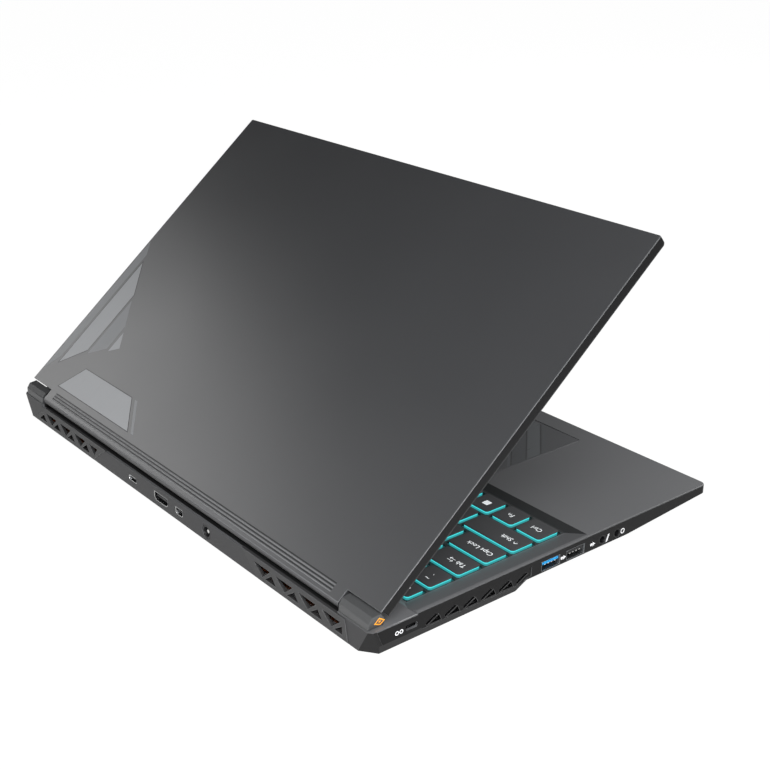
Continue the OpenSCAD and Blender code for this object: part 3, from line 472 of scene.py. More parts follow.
def softened(node, chosen, materials, index_of=None):
    """A CAD node again with its chosen outer edges rounded; the rounding has the last of the materials, on most
    nodes a lighter colour that is a painted highlight.

    chosen tells whether a point is on those edges, and index_of gives a face's material from its normal and
    centre.
    """
    work = whole(node)
    if index_of:
        for face in work.faces:
            face.material_index = index_of(face.normal, face.calc_center_median())
    edges = [edge for edge in work.edges if is_corner(edge) and all(chosen(vert.co) for vert in edge.verts)]
    width = ROUNDING[node.removesuffix("_left").removesuffix("_right")]
    bmesh.ops.bevel(work, geom=edges, offset=width, offset_type="OFFSET", segments=ROUNDING_STEPS,
                    profile=0.5, affect="EDGES", clamp_overlap=False, material=len(materials) - 1)
    mesh = bpy.data.meshes.new(node + "_shell")
    work.to_mesh(mesh)
    work.free()
    piece = finished(node + "_shell", mesh, BODY_OF[node], materials, SHELL_SHARP)
    for face in mesh.polygons:
        face.use_smooth = face.area < FLAT_AREA
    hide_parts(node)


# Where the lid cover's sides end and its barrel begins, in the lid's own axes, and the parts of a normal
# across and outwards that tell their faces
LID_FOOT = -8 * MM
BARREL_START = 2 * MM
LID_SIDE_LEAN = 0.6
BARREL_LEAN = 0.93
LID_FINISHES = [MATERIALS["lid_shell"], LID_SIDE_PLASTIC, BARREL_LACQUER, LID_EDGE_HIGHLIGHT]


def lid_part(normal, centre):
    """Which of the lid cover's finishes a face has."""
    lacquered, sides, barrel = range(3)
    place = LID.inverted() @ centre
    lean = LID.inverted().to_3x3() @ normal
    if abs(lean.x) > LID_SIDE_LEAN:
        return sides if place.y < LID_FOOT else lacquered
    return barrel if place.y > BARREL_START and lean.z < BARREL_LEAN else lacquered


def soften_lid():
    to_lid = LID.inverted()
    softened("lid_back_cover", lambda co: (to_lid @ co).z > LID_OUT - NEAR, LID_FINISHES, lid_part)
    finishes = [MATERIALS["bezel"], BEZEL_EDGE_HIGHLIGHT]
    softened("screen_bezel", lambda co: abs((to_lid @ co).z - LID_IN) < NEAR, finishes)


# The trough under the lid's tongue; the height under which a face is sunk in the deck; how far behind the
# keys their rim still reaches; how near to the box an outer wall stands; and the upward part of a normal that
# a wall stays under and a slope goes over
TROUGH_START = HINGE.y - 8 * MM
TROUGH_HALF = TONGUE_HALF + 1 * MM
TROUGH_TOP = HINGE_DECK_Z - 0.05 * MM
SUNK_Z = DECK_Z - 0.01 * MM
RIM_DEPTH = 2 * MM
WALL_DEPTH = 0.2 * MM
WALL_LEAN = 0.2
SLOPE_LEAN = 0.5
TOP_CASE_FINISHES = [MATERIALS["shell"], SIDE_PLASTIC, SLOPE_PAINTED_SHADE, TROUGH_PAINTED_SHADE, RIM_PAINTED_SHADE, DECK_EDGE_HIGHLIGHT]


def top_case_part(normal, centre):
    """Which of the top case's finishes a face has; the well's front slope and sides and the trough under the
    tongue get painted shade.
    """
    deck, wall, slope, trough, rim = range(5)
    low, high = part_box("keyboard_web")
    if centre.y > TROUGH_START and abs(centre.x) < TROUGH_HALF and centre.z < TROUGH_TOP:
        return trough
    if abs(normal.z) < WALL_LEAN and centre.z > FOOT_Z:
        outside = abs(centre.x) > HALF_WIDTH - WALL_DEPTH or centre.y < -cad_box[1].y + WALL_DEPTH
        return wall if outside else deck
    if normal.z > SLOPE_LEAN and centre.z < SUNK_Z and centre.y < high.y + RIM_DEPTH:
        if centre.y < low.y and abs(centre.x) < high.x:
            return slope
        return rim if abs(centre.x) > high.x else deck
    return deck


# A hinge cover's end, the half depth of its flat top, and the height at which it stands clear of the deck
COVER_END = 176.5 * MM
COVER_FLAT = 3.3 * MM
COVER_FOOT = HINGE_DECK_Z + 0.2 * MM


def on_cover_edge(co):
    """Whether a point is on a long edge or on the end face of a hinge cover."""
    return abs(co.x) > COVER_END or co.z > COVER_FOOT and abs(co.y - HINGE.y) > COVER_FLAT


# The step down from the deck to the hinge deck, the depth of the deck's front corners, and how near to the
# outline or to the step a point counts as on it
STEP_Y = 90.9 * MM
FRONT_CORNER = 4.1 * MM
OUTLINE_DEPTH = 0.05 * MM
STEP_DEPTH = 0.15 * MM


def on_deck_edge(co):
    """Whether a point is on the deck's outer edge or on the step down to the hinge deck."""
    if co.z < HINGE_DECK_Z - NEAR:
        return False
    outer = abs(co.x) > HALF_WIDTH - OUTLINE_DEPTH or co.y < cad_box[0].y + FRONT_CORNER
    return outer or co.z > DECK_Z - NEAR and abs(co.y - STEP_Y) < STEP_DEPTH


# Where the bottom cover's corner facets begin, the height of its rear edge, and the parts of a normal across
# and backwards that tell facets and rear wall
SIDE_START = 168 * MM
REAR_EDGE_Z = 12.5 * MM
FACET_LEAN = 0.3
REAR_LEAN = 0.7
BOTTOM_FINISHES = [MATERIALS["shell"], LOW_SIDE_PAINTED_SHADE, REAR_WALL_PAINTED_SHADE, WALL_EDGE_HIGHLIGHT]


def bottom_part(normal, centre):
    """Which of the bottom cover's finishes a face has; the sides with the corner facets, and the rear wall, get
    darker copies of its lacquer, painted shade.
    """
    underside, sides, rear_wall = range(3)
    if abs(normal.x) > FACET_LEAN and abs(centre.x) > SIDE_START:
        return sides
    return rear_wall if normal.y > REAR_LEAN else underside


def soften_base():
    softened("top_case", on_deck_edge, TOP_CASE_FINISHES, top_case_part)
    softened("rubber_feet", lambda co: co.z < NEAR, [MATERIALS["rubber"]])
    pad_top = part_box("touchpad")[1].z - NEAR
    softened("touchpad", lambda co: co.z > pad_top, [MATERIALS["pad_surface"], DECK_EDGE_HIGHLIGHT])
    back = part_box("bottom_cover")[1].y - NEAR
    softened("bottom_cover", lambda co: co.y > back and co.z > REAR_EDGE_Z, BOTTOM_FINISHES, bottom_part)
    for side in ("left", "right"):
        softened("hinge_cover_" + side, on_cover_edge, [MATERIALS["hinge_shell"]])
        face_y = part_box("rear_vent_" + side)[1].y - NEAR
        finishes = [MATERIALS["rear_grille"], WALL_EDGE_HIGHLIGHT]
        softened("rear_vent_" + side, lambda co: co.y > face_y, finishes)
        face_x = max(abs(corner.x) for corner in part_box("side_vent_" + side)) - NEAR
        finishes = [MATERIALS["side_grille"], FIN_EDGE_HIGHLIGHT]
        softened("side_vent_" + side, lambda co: abs(co.x) > face_x, finishes)


# ---- Keys ----
KEY_RADIUS = 1.8 * MM
KEY_STEPS = 5
KEY_SHARP = 40
# Depth of each ring of a keycap below its top, how far it is set in, and the material of the wall above it:
# 0 the key's plastic, 1 its glowing foot
KEY_RINGS = [(2.4, 0.42, 1), (0.42, 0.3, 1), (0.4, 0.0, 0), (0.16, 0.0, 0), (0.05, 0.08, 0), (0.0, 0.3, 0),
             (0.03, 1.6, 0)]


def loose_boxes(node):
    """Low and high corner of each separate solid of a CAD node."""
    work = bmesh.new()
    work.from_mesh(NODES[node].data)
    bmesh.ops.remove_doubles(work, verts=work.verts, dist=WELD)
    boxes, seen = [], set()
    for start in work.verts:
        if start in seen:
            continue
        stack, part = [start], []
        seen.add(start)
        while stack:
            vert = stack.pop()
            part.append(vert.co.copy())
            for edge in vert.link_edges:
                other = edge.other_vert(vert)
                if other not in seen:
                    seen.add(other)
                    stack.append(other)
        low = Vector([min(co[k] for co in part) for k in range(3)])
        high = Vector([max(co[k] for co in part) for k in range(3)])
        boxes.append((low, high))
    work.free()
    return boxes


def keycaps(node, boxes):
    work = bmesh.new()
    for low, high in boxes:
        rings = []
        for drop, inset, _ in KEY_RINGS:
            z = high.z - drop * MM
            rings.append([(x, y, z) for x, y in outline(low, high, KEY_RADIUS, inset * MM, KEY_STEPS)])
        loft(work, rings, [material for _, _, material in KEY_RINGS])
    mesh = bpy.data.meshes.new(node + "_caps")
    work.to_mesh(mesh)
    work.free()
    piece = finished(node + "_caps", mesh, BODY_OF[node], [MATERIALS["key_plastic"], GLOW],
                     KEY_SHARP)
    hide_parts(node)


# Legends of each node's keys: rows from the back, keys from the left; a pair is the upper and lower sign
LEGENDS = {
    "esc_key": [["Esc"]],
    "function_keys": [[f"F{i}" for i in range(1, 13)] + ["PrtSc", "Ins", "Del", "Home", "End"]],
    "number_keys": [[("~", "`"), ("!", "1"), ("@", "2"), ("#", "3"), ("$", "4"), ("%", "5"), ("^", "6"),
                     ("&", "7"), ("*", "8"), ("(", "9"), (")", "0"), ("_", "-"), ("+", "="), "Backspace"]],
    "tab_key": [["Tab ⇆"]],
    "upper_letter_keys": [list("QWERTYUIOP") + [("{", "["), ("}", "]"), ("|", "\\")]],
    "caps_lock_key": [["Caps Lock"]],
    "home_letter_keys": [list("ASDFGHJKL") + [(":", ";"), ('"', "'"), "Enter"]],
    "left_shift_key": [["↑ Shift"]],
    "lower_letter_keys": [list("ZXCVBNM") + [("<", ","), (">", "."), ("?", "/"), "↑ Shift", "↑"]],
    "left_ctrl_key": [["Ctrl"]],
    "fn_key": [["Fn"]],
    "meta_key": [["■"]],
    "bottom_row_keys": [["Alt", "Alt", "Menu", "Ctrl", "←", "↓", "→"]],
    "keypad_keys": [["Num", "/", "*", "-"], ["7", "8", "9"], ["+"], ["4", "5", "6"], ["1", "2", "3"],
                    ["Enter"], ["0", "."]],
    "power_key": [["○"]],
    "space_bar": [[None]],
}
WORD_SIZE = 4.3 * MM
LETTER_SIZE = 5.6 * MM
PAIR_SIZE = 5.0 * MM
PAIR_RISE = 2.9 * MM
# A key wider than this has its word at the left, this far from its edge
WIDE_KEY = 22 * MM
WORD_MARGIN = 3.4 * MM
LEGEND_THICKNESS = 0.01 * MM
LEGEND_SINK = 0.018 * MM


def text_mesh(words, size, align):
    """Flat lettering in the XY plane, centred on its height."""
    data = bpy.data.curves.new("text", "FONT")
    data.body = words
    data.size = size
    data.align_x = align
    data.align_y = "CENTER"
    data.extrude = LEGEND_THICKNESS
    data.resolution_u = 3
    piece = bpy.data.objects.new("text", data)
    bpy.context.scene.collection.objects.link(piece)
    bpy.context.view_layer.update()
    return evaluated("text", piece)


def key_rows(boxes):
    """The keys in rows from the back, each from the left; a row's keys share a rear edge and a depth."""
    rows = {}
    for low, high in boxes:
        key = (-round(high.y / MM), round((high.y - low.y) / MM))
        rows.setdefault(key, []).append((low, high))
    return [sorted(rows[key], key=lambda box: box[0].x) for key in sorted(rows)]


def legend_signs(legend, low, high):
    """Each sign of a legend: words, size, alignment and place on the key."""
    middle = (low + high) / 2
    if isinstance(legend, tuple):
        upper, lower = legend
        return [(upper, PAIR_SIZE, "CENTER", middle.x, middle.y + PAIR_RISE),
                (lower, PAIR_SIZE, "CENTER", middle.x, middle.y - PAIR_RISE)]
    if len(legend) == 1:
        return [(legend, LETTER_SIZE, "CENTER", middle.x, middle.y)]
    if high.x - low.x > WIDE_KEY:
        return [(legend, WORD_SIZE, "LEFT", low.x + WORD_MARGIN, middle.y)]
    return [(legend, WORD_SIZE, "CENTER", middle.x, middle.y)]


def legends(node, boxes):
    work = bmesh.new()
    rows = key_rows(boxes)
    for row, words in zip(rows, LEGENDS[node]):
        for (low, high), legend in zip(row, words):
            if legend is None:
                continue
            for sign, size, align, x, y in legend_signs(legend, low, high):
                mesh = text_mesh(sign, size, align)
                mesh.transform(Matrix.Translation((x, y, high.z - LEGEND_SINK)))
                work.from_mesh(mesh)
                bpy.data.meshes.remove(mesh)
    if not work.verts:
        work.free()
        return
    mesh = bpy.data.meshes.new(node + "_legends")
    work.to_mesh(mesh)
    work.free()
    finished(node + "_legends", mesh, BODY_OF[node], [WHITE_INK])


def make_keys():
    for node in LEGENDS:
        boxes = loose_boxes(node)
        keycaps(node, boxes)
        legends(node, boxes)


# ---- Thin shapes ----
def turned_left(points):
    """The polygon's points, anticlockwise."""
    twice_area = sum(a[0] * b[1] - b[0] * a[1] for a, b in zip(points, points[1:] + points[:1]))
    return list(points) if twice_area > 0 else list(reversed(points))


def grown(points, by):
    """An anticlockwise polygon moved outwards by the same amount on every side."""
    moved = []
    for before, here, after in zip(points[-1:] + points[:-1], points, points[1:] + points[:1]):
        first = (Vector(here) - Vector(before)).normalized()
        second = (Vector(after) - Vector(here)).normalized()
        out = Vector((first.y + second.y, -first.x - second.x)).normalized()
        lean = out.dot(Vector((first.y, -first.x)))
        moved.append(tuple(Vector(here) + out * (by / lean)))
    return moved


def plate(work, points, low, high, index=0):
    """A thin closed plate over a polygon in the XY plane."""
    points = turned_left(points)
    loft(work, [[(x, y, z) for x, y in points] for z in (low, high)], [index, index])


def outlined(work, points, width, low, high, index=0):
    """The outline of a polygon as a thin closed band inside it."""
    outer = turned_left(points)
    inner = grown(outer, -width)
    rings = [(outer, low), (outer, high), (inner, high), (inner, low)]
    loft(work, [[(x, y, z) for x, y in points] for points, z in rings], [index] * 4, around=True)


def circle(x, y, radius, steps=24):
    turns = [2 * math.pi * i / steps for i in range(steps)]
    return [(x + radius * math.cos(turn), y + radius * math.sin(turn)) for turn in turns]


def in_mm(points):
    return [(x * MM, y * MM) for x, y in points]


def made(name, work, place, body, materials, sharp=35.0):
    """The piece of a finished bmesh, moved from its own axes to its place."""
    mesh = bpy.data.meshes.new(name)
    work.to_mesh(mesh)
    work.free()
    mesh.transform(place)
    return finished(name, mesh, body, materials, sharp)


SOCKET_TYPES = {int: "Int", float: "Float", tuple: "Vector", bpy.types.Material: "Material"}


def row_of(name, primitive, sizes, count, start, pitch, material, turn=(0.0, 0.0, 0.0)):
    """Copies of a mesh primitive in a straight row, made by Geometry Nodes, as a plain mesh."""
    tree = bpy.data.node_groups.new(name, "GeometryNodeTree")
    wanted = {"Count": count, "Start": tuple(start), "Pitch": tuple(pitch), "Turn": turn, "Finish": material}
    wanted.update(sizes)
    identifiers = {}
    for title, value in wanted.items():
        kind = "NodeSocket" + SOCKET_TYPES[type(value)]
        identifiers[title] = tree.interface.new_socket(title, in_out="INPUT", socket_type=kind).identifier
    tree.interface.new_socket("Geometry", in_out="OUTPUT", socket_type="NodeSocketGeometry")
    inlet, outlet = tree.nodes.new("NodeGroupInput"), tree.nodes.new("NodeGroupOutput")
    shape = tree.nodes.new(primitive)
    line = tree.nodes.new("GeometryNodeMeshLine")
    copies = tree.nodes.new("GeometryNodeInstanceOnPoints")
    real = tree.nodes.new("GeometryNodeRealizeInstances")
    paint = tree.nodes.new("GeometryNodeSetMaterial")
    fed = [(title, shape, title) for title in sizes]
    fed += [("Count", line, "Count"), ("Start", line, "Start Location"), ("Pitch", line, "Offset"),
            ("Turn", copies, "Rotation"), ("Finish", paint, "Material")]
    for title, node, socket in fed:
        tree.links.new(inlet.outputs[title], node.inputs[socket])
    tree.links.new(line.outputs["Mesh"], copies.inputs["Points"])
    tree.links.new(shape.outputs["Mesh"], copies.inputs["Instance"])
    tree.links.new(copies.outputs["Instances"], real.inputs["Geometry"])
    tree.links.new(real.outputs["Geometry"], paint.inputs["Geometry"])
    tree.links.new(paint.outputs["Geometry"], outlet.inputs["Geometry"])
    holder = bpy.data.objects.new(name, bpy.data.meshes.new(name))
    bpy.context.scene.collection.objects.link(holder)
    rows = holder.modifiers.new("rows", "NODES")
    rows.node_group = tree
    for title, value in wanted.items():
        rows[identifiers[title]] = value
    return evaluated(name, holder)


def row_piece(name, mesh, place, body):
    """A piece from the mesh of a row, which has its material already."""
    mesh.transform(place)
    return finished(name, mesh, body, [])


# ---- Printed bands ----
# Corners in millimetres from the hinge's middle, across and then up the lid; the material, 0 silver or 1
# grey; and whether a dark line runs inside the band's edge
LID_BANDS = [
    ([(177.5, 14), (177.5, 122), (170.5, 112), (170.5, 26)], 1, False),
    ([(168, 22), (168, 106), (151, 84), (151, 38)], 0, True),
    ([(148.5, 36), (148.5, 80), (135, 63), (135, 45)], 1, False),
    ([(132, 44), (132, 59), (124, 49)], 0, False),
    ([(150, 9), (62, 9), (80, 27), (138, 27)], 0, True),
    ([(76, 27), (58, 9), (55, 9), (73, 27)], 1, False),
]
LINE_WIDTH = 0.5 * MM
DARK = 2


def lid_graphic():
    work = bmesh.new()
    for corners, tone, lined in LID_BANDS:
        points = turned_left(in_mm([(x, -up) for x, up in corners]))
        plate(work, points, LID_OUT - LIFT, LID_OUT + 1.5 * LIFT, tone)
        if lined:
            outlined(work, grown(points, LINE_WIDTH), LINE_WIDTH, LID_OUT - LIFT, LID_OUT + LIFT, DARK)
    made("lid_bands", work, LID, "lid", [SILVER_BAND, GREY_BAND, DARK_LINE])


# Radius and height of the rings of the camera's lens: a bevelled collar, then a shallow dome of glass
LENS_RINGS = [(1.5, 0.0), (1.5, 0.18), (1.4, 0.26), (1.1, 0.26), (1.0, 0.14), (0.7, 0.2), (0.35, 0.24)]
LENS_FINISH = [0, 0, 0, 0, 1, 1, 1]
LENS_SHARP = 50


def camera_lens():
    """Collar and glass of the camera over the screen."""
    to_lid = LID.inverted()
    module = [to_lid @ vert.co for vert in NODES["webcam_module"].data.vertices]
    front = min(co.z for co in module)
    barrel = [co for co in module if co.z < front + NEAR]
    middle = sum(barrel, Vector()) / len(barrel)
    work = bmesh.new()
    rings = [[(x, y, up * MM) for x, y in circle(0, 0, radius * MM, 40)] for radius, up in LENS_RINGS]
    loft(work, rings, LENS_FINISH)
    place = LID @ Matrix.Translation((middle.x, middle.y, front)) @ Matrix.Rotation(math.pi, 4, "X")
    made("camera_lens", work, place, "lid", [MATERIALS["bezel"], LENS_GLASS], LENS_SHARP)


RIB_RADIUS = 0.42 * MM
RIB_RISE = 0.16 * MM
RIB_LENGTH = 292 * MM
RIB_COUNT = 3
RIB_START = 0.5 * MM
RIB_PITCH = -1.85 * MM
PAINTED_SHADOW_WIDTH = 0.7 * MM


def lid_ribs():
    """Three fine ribs across the foot of the lid in a lighter lacquer, a painted highlight, with a darker strip
    beside each, a painted shadow.
    """
    pitch = (0.0, RIB_PITCH, 0.0)
    start = (0.0, RIB_START, LID_OUT - RIB_RADIUS + RIB_RISE)
    sizes = {"Vertices": 16, "Radius": RIB_RADIUS, "Depth": RIB_LENGTH}
    mesh = row_of("lid_ribs", "GeometryNodeMeshCylinder", sizes, RIB_COUNT, start, pitch, RIB_HIGHLIGHT,
                  (0.0, math.pi / 2, 0.0))
    row_piece("lid_ribs", mesh, LID, "lid")
    start = (0.0, RIB_START + RIB_PITCH / 2, LID_OUT)
    sizes = {"Size": (RIB_LENGTH, PAINTED_SHADOW_WIDTH, 1.5 * LIFT)}
    mesh = row_of("lid_rib_painted_shadows", "GeometryNodeMeshCube", sizes, RIB_COUNT, start, pitch, RIB_PAINTED_SHADOW)
    row_piece("lid_rib_painted_shadows", mesh, LID, "lid")


# Slanting bands and lines across the pad's front left corner: least and most sum of x and y in millimetres,
# and the material, 0 light, 1 dimmer or 2 dark
PAD_STRIPS = [(-174, -170.5, 1), (-168.5, -158.5, 0), (-156.5, -146.5, 1), (-144.5, -142.5, 0),
              (-169.8, -169.2, 2), (-157.8, -157.2, 2), (-145.8, -145.2, 2)]
PAD_MARGIN = 1.4 * MM


def pad_graphic():
    low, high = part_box("touchpad")
    left, front = low.x + PAD_MARGIN, low.y + PAD_MARGIN
    work = bmesh.new()
    for least, most, tone in PAD_STRIPS:
        least, most = least * MM, most * MM
        corners = [(left, least - left), (least - front, front), (most - front, front), (left, most - left)]
        plate(work, corners, high.z - LIFT, high.z + LIFT, tone)
    made("pad_bands", work, Matrix(), "touchpad", [PAD_BAND, PAD_BAND_DIM, PAD_LINE])


# ---- Sockets ----
def on_wall(node, wall):
    """The lower left and upper right corner of a node as one who looks at the wall sees it."""
    corners = [wall.inverted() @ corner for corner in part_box(node)]
    low = Vector([min(corner[k] for corner in corners) for k in range(3)])
    high = Vector([max(corner[k] for corner in corners) for k in range(3)])
    return low, high


# Depth and inset of each ring of a folded steel shell, from its back round the lip to the floor of its
# opening, and of its tongue, from the back to the tip
USB_SHELL = [(12.2, 0), (0.25, 0), (0.08, 0.1), (0.08, 0.3), (0.3, 0.42), (10.5, 0.42)]
USB_TONGUE = [(10.6, 0), (0.55, 0), (0.35, 0.2)]
# The tongue's half width and its bottom and top above the middle of the socket; its contacts' size and pitch
TONGUE_REACH = 5.6 * MM
TONGUE_BOTTOM = 0.55 * MM
TONGUE_TOP = 2.25 * MM
CONTACT_SIZE = (1.1 * MM, 0.55 * MM, 8.0 * MM)
CONTACT_START = Vector((-3.5 * MM, 0.3 * MM, -4.75 * MM))
CONTACT_PITCH = 7.0 / 3 * MM
SHELL_BEND = 0.6 * MM
TONGUE_BEND = 0.3 * MM


def usb_socket(node, wall, tongue):
    """Type A socket: folded steel shell with a rounded lip, contact tongue and four contacts; the shell is a
    darker steel and its inside black, painted shade in the opening.
    """
    low, high = on_wall(node, wall)
    work = bmesh.new()
    rings = [[(x, y, -depth * MM) for x, y in outline(low, high, SHELL_BEND, inset * MM, 3)]
             for depth, inset in USB_SHELL]
    loft(work, rings, [0, 0, 0, 0, 0, 1])
    middle = (low + high) / 2
    tongue_low = middle + Vector((-TONGUE_REACH, TONGUE_BOTTOM, 0))
    tongue_high = middle + Vector((TONGUE_REACH, TONGUE_TOP, 0))
    rings = [[(x, y, -depth * MM) for x, y in outline(tongue_low, tongue_high, TONGUE_BEND, inset * MM, 2)]
             for depth, inset in USB_TONGUE]
    loft(work, rings, [2, 2, 2])
    # The shell's darker steel and black inside are painted shade in the wall's opening.
    finishes = [STEEL_PAINTED_SHADE, MATERIALS["port_black"], tongue]
    piece = made(node + "_shell", work, wall, "base", finishes)
    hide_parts(node)
    start = Vector((middle.x, middle.y, 0)) + CONTACT_START
    mesh = row_of(node + "_contacts", "GeometryNodeMeshCube", {"Size": CONTACT_SIZE}, 4, start,
                  (CONTACT_PITCH, 0.0, 0.0), PIN_STEEL_AND_LIP_HIGHLIGHT)
    row_piece(node + "_contacts", mesh, wall, "base")


# Radius and depth of the rings of the collar round a 3.5 mm socket
COLLAR = [(2.85, 1.5), (2.85, 0.3), (2.6, 0.12), (2.15, 0.12), (1.82, 0.4), (1.82, 1.5)]


def jack_collar(node):
    low, high = on_wall(node, LEFT_WALL)
    work = bmesh.new()
    rings = [[(x, y, -depth * MM) for x, y in circle((low.x + high.x) / 2, PORT_Z, radius * MM, 32)]
             for radius, depth in COLLAR]
    loft(work, rings, [0] * len(rings), around=True)
    made(node + "_collar", work, LEFT_WALL, "base", [MATERIALS["port_black"]])


def side_sockets():
    usb_socket("usb_a_port_rear", LEFT_WALL, MATERIALS["port_blue"])
    usb_socket("usb_a_port_front", LEFT_WALL, MATERIALS["port_black"])
    usb_socket("usb_a_port_right", RIGHT_WALL, MATERIALS["port_blue"])
    jack_collar("microphone_jack")
    jack_collar("headphone_jack")


# Half width of the tongue in each flat rear socket, half the height of all of them, and the radius of the
# power socket's pin; tongues and pin end at least MOUTH_DEPTH inside the mouth
REAR_TONGUES = {"usb_c_port": 3.35 * MM, "hdmi_port": 5.65 * MM, "mini_displayport": 2.45 * MM}
TONGUE_HALF_HEIGHT = 0.95 * MM
PIN_RADIUS = 1.3 * MM
MOUTH_DEPTH = 0.5 * MM


def rear_sockets():
    """The rear sockets again with rounded mouths, and with a dark tongue or a bright pin in each; the flat
    sockets' mouths are rounded in bright steel, a painted highlight.
    """
    for node, half_width in REAR_TONGUES.items():
        low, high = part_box(node)
        middle = (low + high) / 2

        def tongue(_, centre):
            inside = abs(centre.x - middle.x) < half_width and abs(centre.z - middle.z) < TONGUE_HALF_HEIGHT
            return int(inside and low.y + 0.1 * MM < centre.y < high.y - MOUTH_DEPTH)

        # The last finish rounds the mouth in bright steel: a painted highlight round the lip.
        finishes = [MATERIALS["port_steel"], MATERIALS["port_black"], PIN_STEEL_AND_LIP_HIGHLIGHT]
        softened(node, lambda co: co.y > high.y - NEAR, finishes, tongue)
    low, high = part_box("dc_in_socket")
    middle = (low + high) / 2

    def pin(_, centre):
        off_axis = math.hypot(centre.x - middle.x, centre.z - middle.z)
        return int(off_axis < PIN_RADIUS and low.y + 2 * MM < centre.y < high.y - MOUTH_DEPTH)

    finishes = [MATERIALS["port_black"], PIN_STEEL_AND_LIP_HIGHLIGHT, MATERIALS["port_black"]]
    softened("dc_in_socket", lambda co: co.y > high.y - 2 * MM, finishes, pin)


# ---- Marks ----
# Places on the left wall in millimetres, across and up: rings with their radius and line width, dots with
# their radius, and plates with their corners
WALL_RINGS = [(-103.1, 9.3, 1.15, 0.5), (-100.5, 9.3, 1.15, 0.5), (50.3, 9.7, 1.55, 0.6)]
WALL_DOTS = [(4.8, 9.7, 0.85), (26.4, 9.7, 0.85)]
WALL_PLATES = [
    [(-102.3, 9.05), (-101.3, 9.05), (-101.3, 9.55), (-102.3, 9.55)],
    [(5.8, 8.5), (7.8, 9.7), (5.8, 10.9)],
    [(27.4, 8.5), (29.4, 9.7), (27.4, 10.9)],
    [(37.4, 7.4), (38.5, 7.4), (40.1, 11.6), (39.0, 11.6)],
]


def wall_marks():
    """Plain marks beside the openings of the left wall."""
    work = bmesh.new()
    for x, y, radius, width in WALL_RINGS:
        outlined(work, circle(x * MM, y * MM, radius * MM), width * MM, -LIFT, LIFT)
    for x, y, radius in WALL_DOTS:
        plate(work, circle(x * MM, y * MM, radius * MM, 16), -LIFT, LIFT)
    for corners in WALL_PLATES:
        plate(work, in_mm(corners), -LIFT, LIFT)
    made("socket_marks", work, LEFT_WALL, "base", [MARK_INK_PAINTED_GLOW])


# The end face of the left hinge cover: its upward direction and the mark's place on it
COVER_LEAN = Vector((-1 / 7.3, 0, 1)).normalized()
COVER_MARK_PLACE = (-177.42 * MM, 111.3 * MM, 17.8 * MM)
LOZENGE = [(-3.3, -0.6), (0.6, -2.3), (3.2, -0.2), (-0.4, 2.2)]
LOZENGE_LINE = 0.6 * MM
LOZENGE_HEART = [(-0.9, -0.2), (0.1, -0.7), (0.9, 0.0), (-0.1, 0.5)]


def cover_marks():
    """A plain lozenge on the end face of the left hinge cover."""
    face = wall_axes((0, -1, 0), COVER_LEAN, COVER_MARK_PLACE)
    work = bmesh.new()
    outlined(work, in_mm(LOZENGE), LOZENGE_LINE, -LIFT, LIFT)
    plate(work, in_mm(LOZENGE_HEART), -LIFT, LIFT)
    made("cover_mark", work, face, "base", [ORANGE_INK_PAINTED_GLOW])


# ---- Stage ----
# How much of the floor's look is plain white, the rest being its lit surface, which keeps the shadow; the
# white's strength, which makes up for that surface; and the world's light on the object
WHITE_SHARE = 0.93
WHITE_LIGHT = 1.06
STUDIO_LIGHT = 0.05
FLOOR_HALF = 6.0
FLOOR_DROP = 0.2 * MM


def add_floor():
    mesh = bpy.data.meshes.new("floor")
    corners = [(x * FLOOR_HALF, y * FLOOR_HALF, 0) for x, y in ((-1, -1), (1, -1), (1, 1), (-1, 1))]
    mesh.from_pydata(corners, [], [(0, 1, 2, 3)])
    floor = bpy.data.objects.new("floor", mesh)
    floor.location.z = -FLOOR_DROP
    bpy.context.scene.collection.objects.link(floor)
    paint = Paint("floor_paint", Roughness=1.0, Specular_IOR_Level=0.0, Base_Color=(0.8, 0.8, 0.8, 1))
    # white where the camera, a reflection or a look through glass meets it; the mix keeps a faint shadow
    seen, glossy, through = [paint.add("ShaderNodeLightPath", {}, {}, f"Is {ray} Ray")
                             for ray in ("Camera", "Glossy", "Transmission")]
    white = paint.add("ShaderNodeEmission", {}, {"Color": (1, 1, 1, 1), "Strength": WHITE_LIGHT})
    lit = Value(paint, paint.shader.outputs[0])
    factor = seen.most(glossy).most(through) * WHITE_SHARE
    both = paint.add("ShaderNodeMixShader", {}, {0: factor, 1: lit, 2: white})
    out = paint.tree.nodes["Material Output"]
    paint.tree.links.new(both.socket, out.inputs["Surface"])
    mesh.materials.append(paint.material)


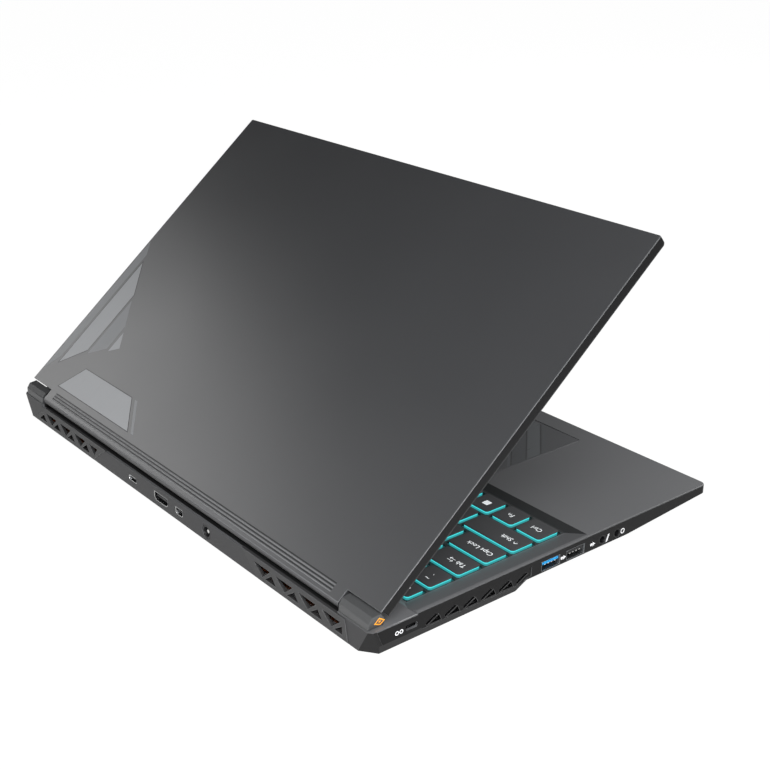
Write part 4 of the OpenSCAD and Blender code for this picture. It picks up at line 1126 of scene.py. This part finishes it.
def add_world():
    """White where the camera or a look through glass meets it; in a reflection it would veil the dark lid."""
    world = bpy.data.worlds.new("studio")
    bpy.context.scene.world = world
    world.use_nodes = True
    tree = world.node_tree
    lit = tree.nodes["Background"]
    lit.inputs["Color"].default_value = (1, 1, 1, 1)
    lit.inputs["Strength"].default_value = STUDIO_LIGHT
    white = tree.nodes.new("ShaderNodeBackground")
    white.inputs["Color"].default_value = (1, 1, 1, 1)
    path = tree.nodes.new("ShaderNodeLightPath")
    mix = tree.nodes.new("ShaderNodeMixShader")
    seen = tree.nodes.new("ShaderNodeMath")
    seen.operation = "MAXIMUM"
    tree.links.new(path.outputs["Is Camera Ray"], seen.inputs[0])
    tree.links.new(path.outputs["Is Transmission Ray"], seen.inputs[1])
    tree.links.new(seen.outputs[0], mix.inputs[0])
    tree.links.new(lit.outputs[0], mix.inputs[1])
    tree.links.new(white.outputs[0], mix.inputs[2])
    tree.links.new(mix.outputs[0], tree.nodes["World Output"].inputs["Surface"])


# Name, azimuth and height in degrees, distance in metres, sides in metres, and power in watts
LAMPS = [
    ("front_lamp", 180, 35, 1.5, (0.9, 0.5), 8.5),
    ("left_lamp", -56, 33, 0.65, (0.4, 0.3), 3.6),
    ("top_lamp", 0, 88, 1.5, (0.9, 0.5), 2),
    ("rear_right_lamp", 60, 25, 1.5, (0.9, 0.5), 2.9),
]


def add_lamp(name, azimuth, height, distance, size, power):
    """A soft lamp that faces the origin; its azimuth in degrees runs from the rear towards the right."""
    side, up = math.radians(azimuth), math.radians(height)
    away = Vector((math.sin(side) * math.cos(up), math.cos(side) * math.cos(up), math.sin(up)))
    data = bpy.data.lights.new(name, "AREA")
    data.shape = "RECTANGLE"
    data.size, data.size_y = size
    data.energy = power
    lamp = bpy.data.objects.new(name, data)
    lamp.location = away * distance
    lamp.rotation_mode = "QUATERNION"
    lamp.rotation_quaternion = (-away).to_track_quat("-Z", "Y")
    bpy.context.scene.collection.objects.link(lamp)


paint_nodes()
soften_lid()
soften_base()
make_keys()
lid_graphic()
lid_ribs()
camera_lens()
pad_graphic()
side_sockets()
rear_sockets()
wall_marks()
cover_marks()
add_floor()
add_world()
for lamp in LAMPS:
    add_lamp(*lamp)

bpy.context.scene.view_settings.view_transform = "Standard"
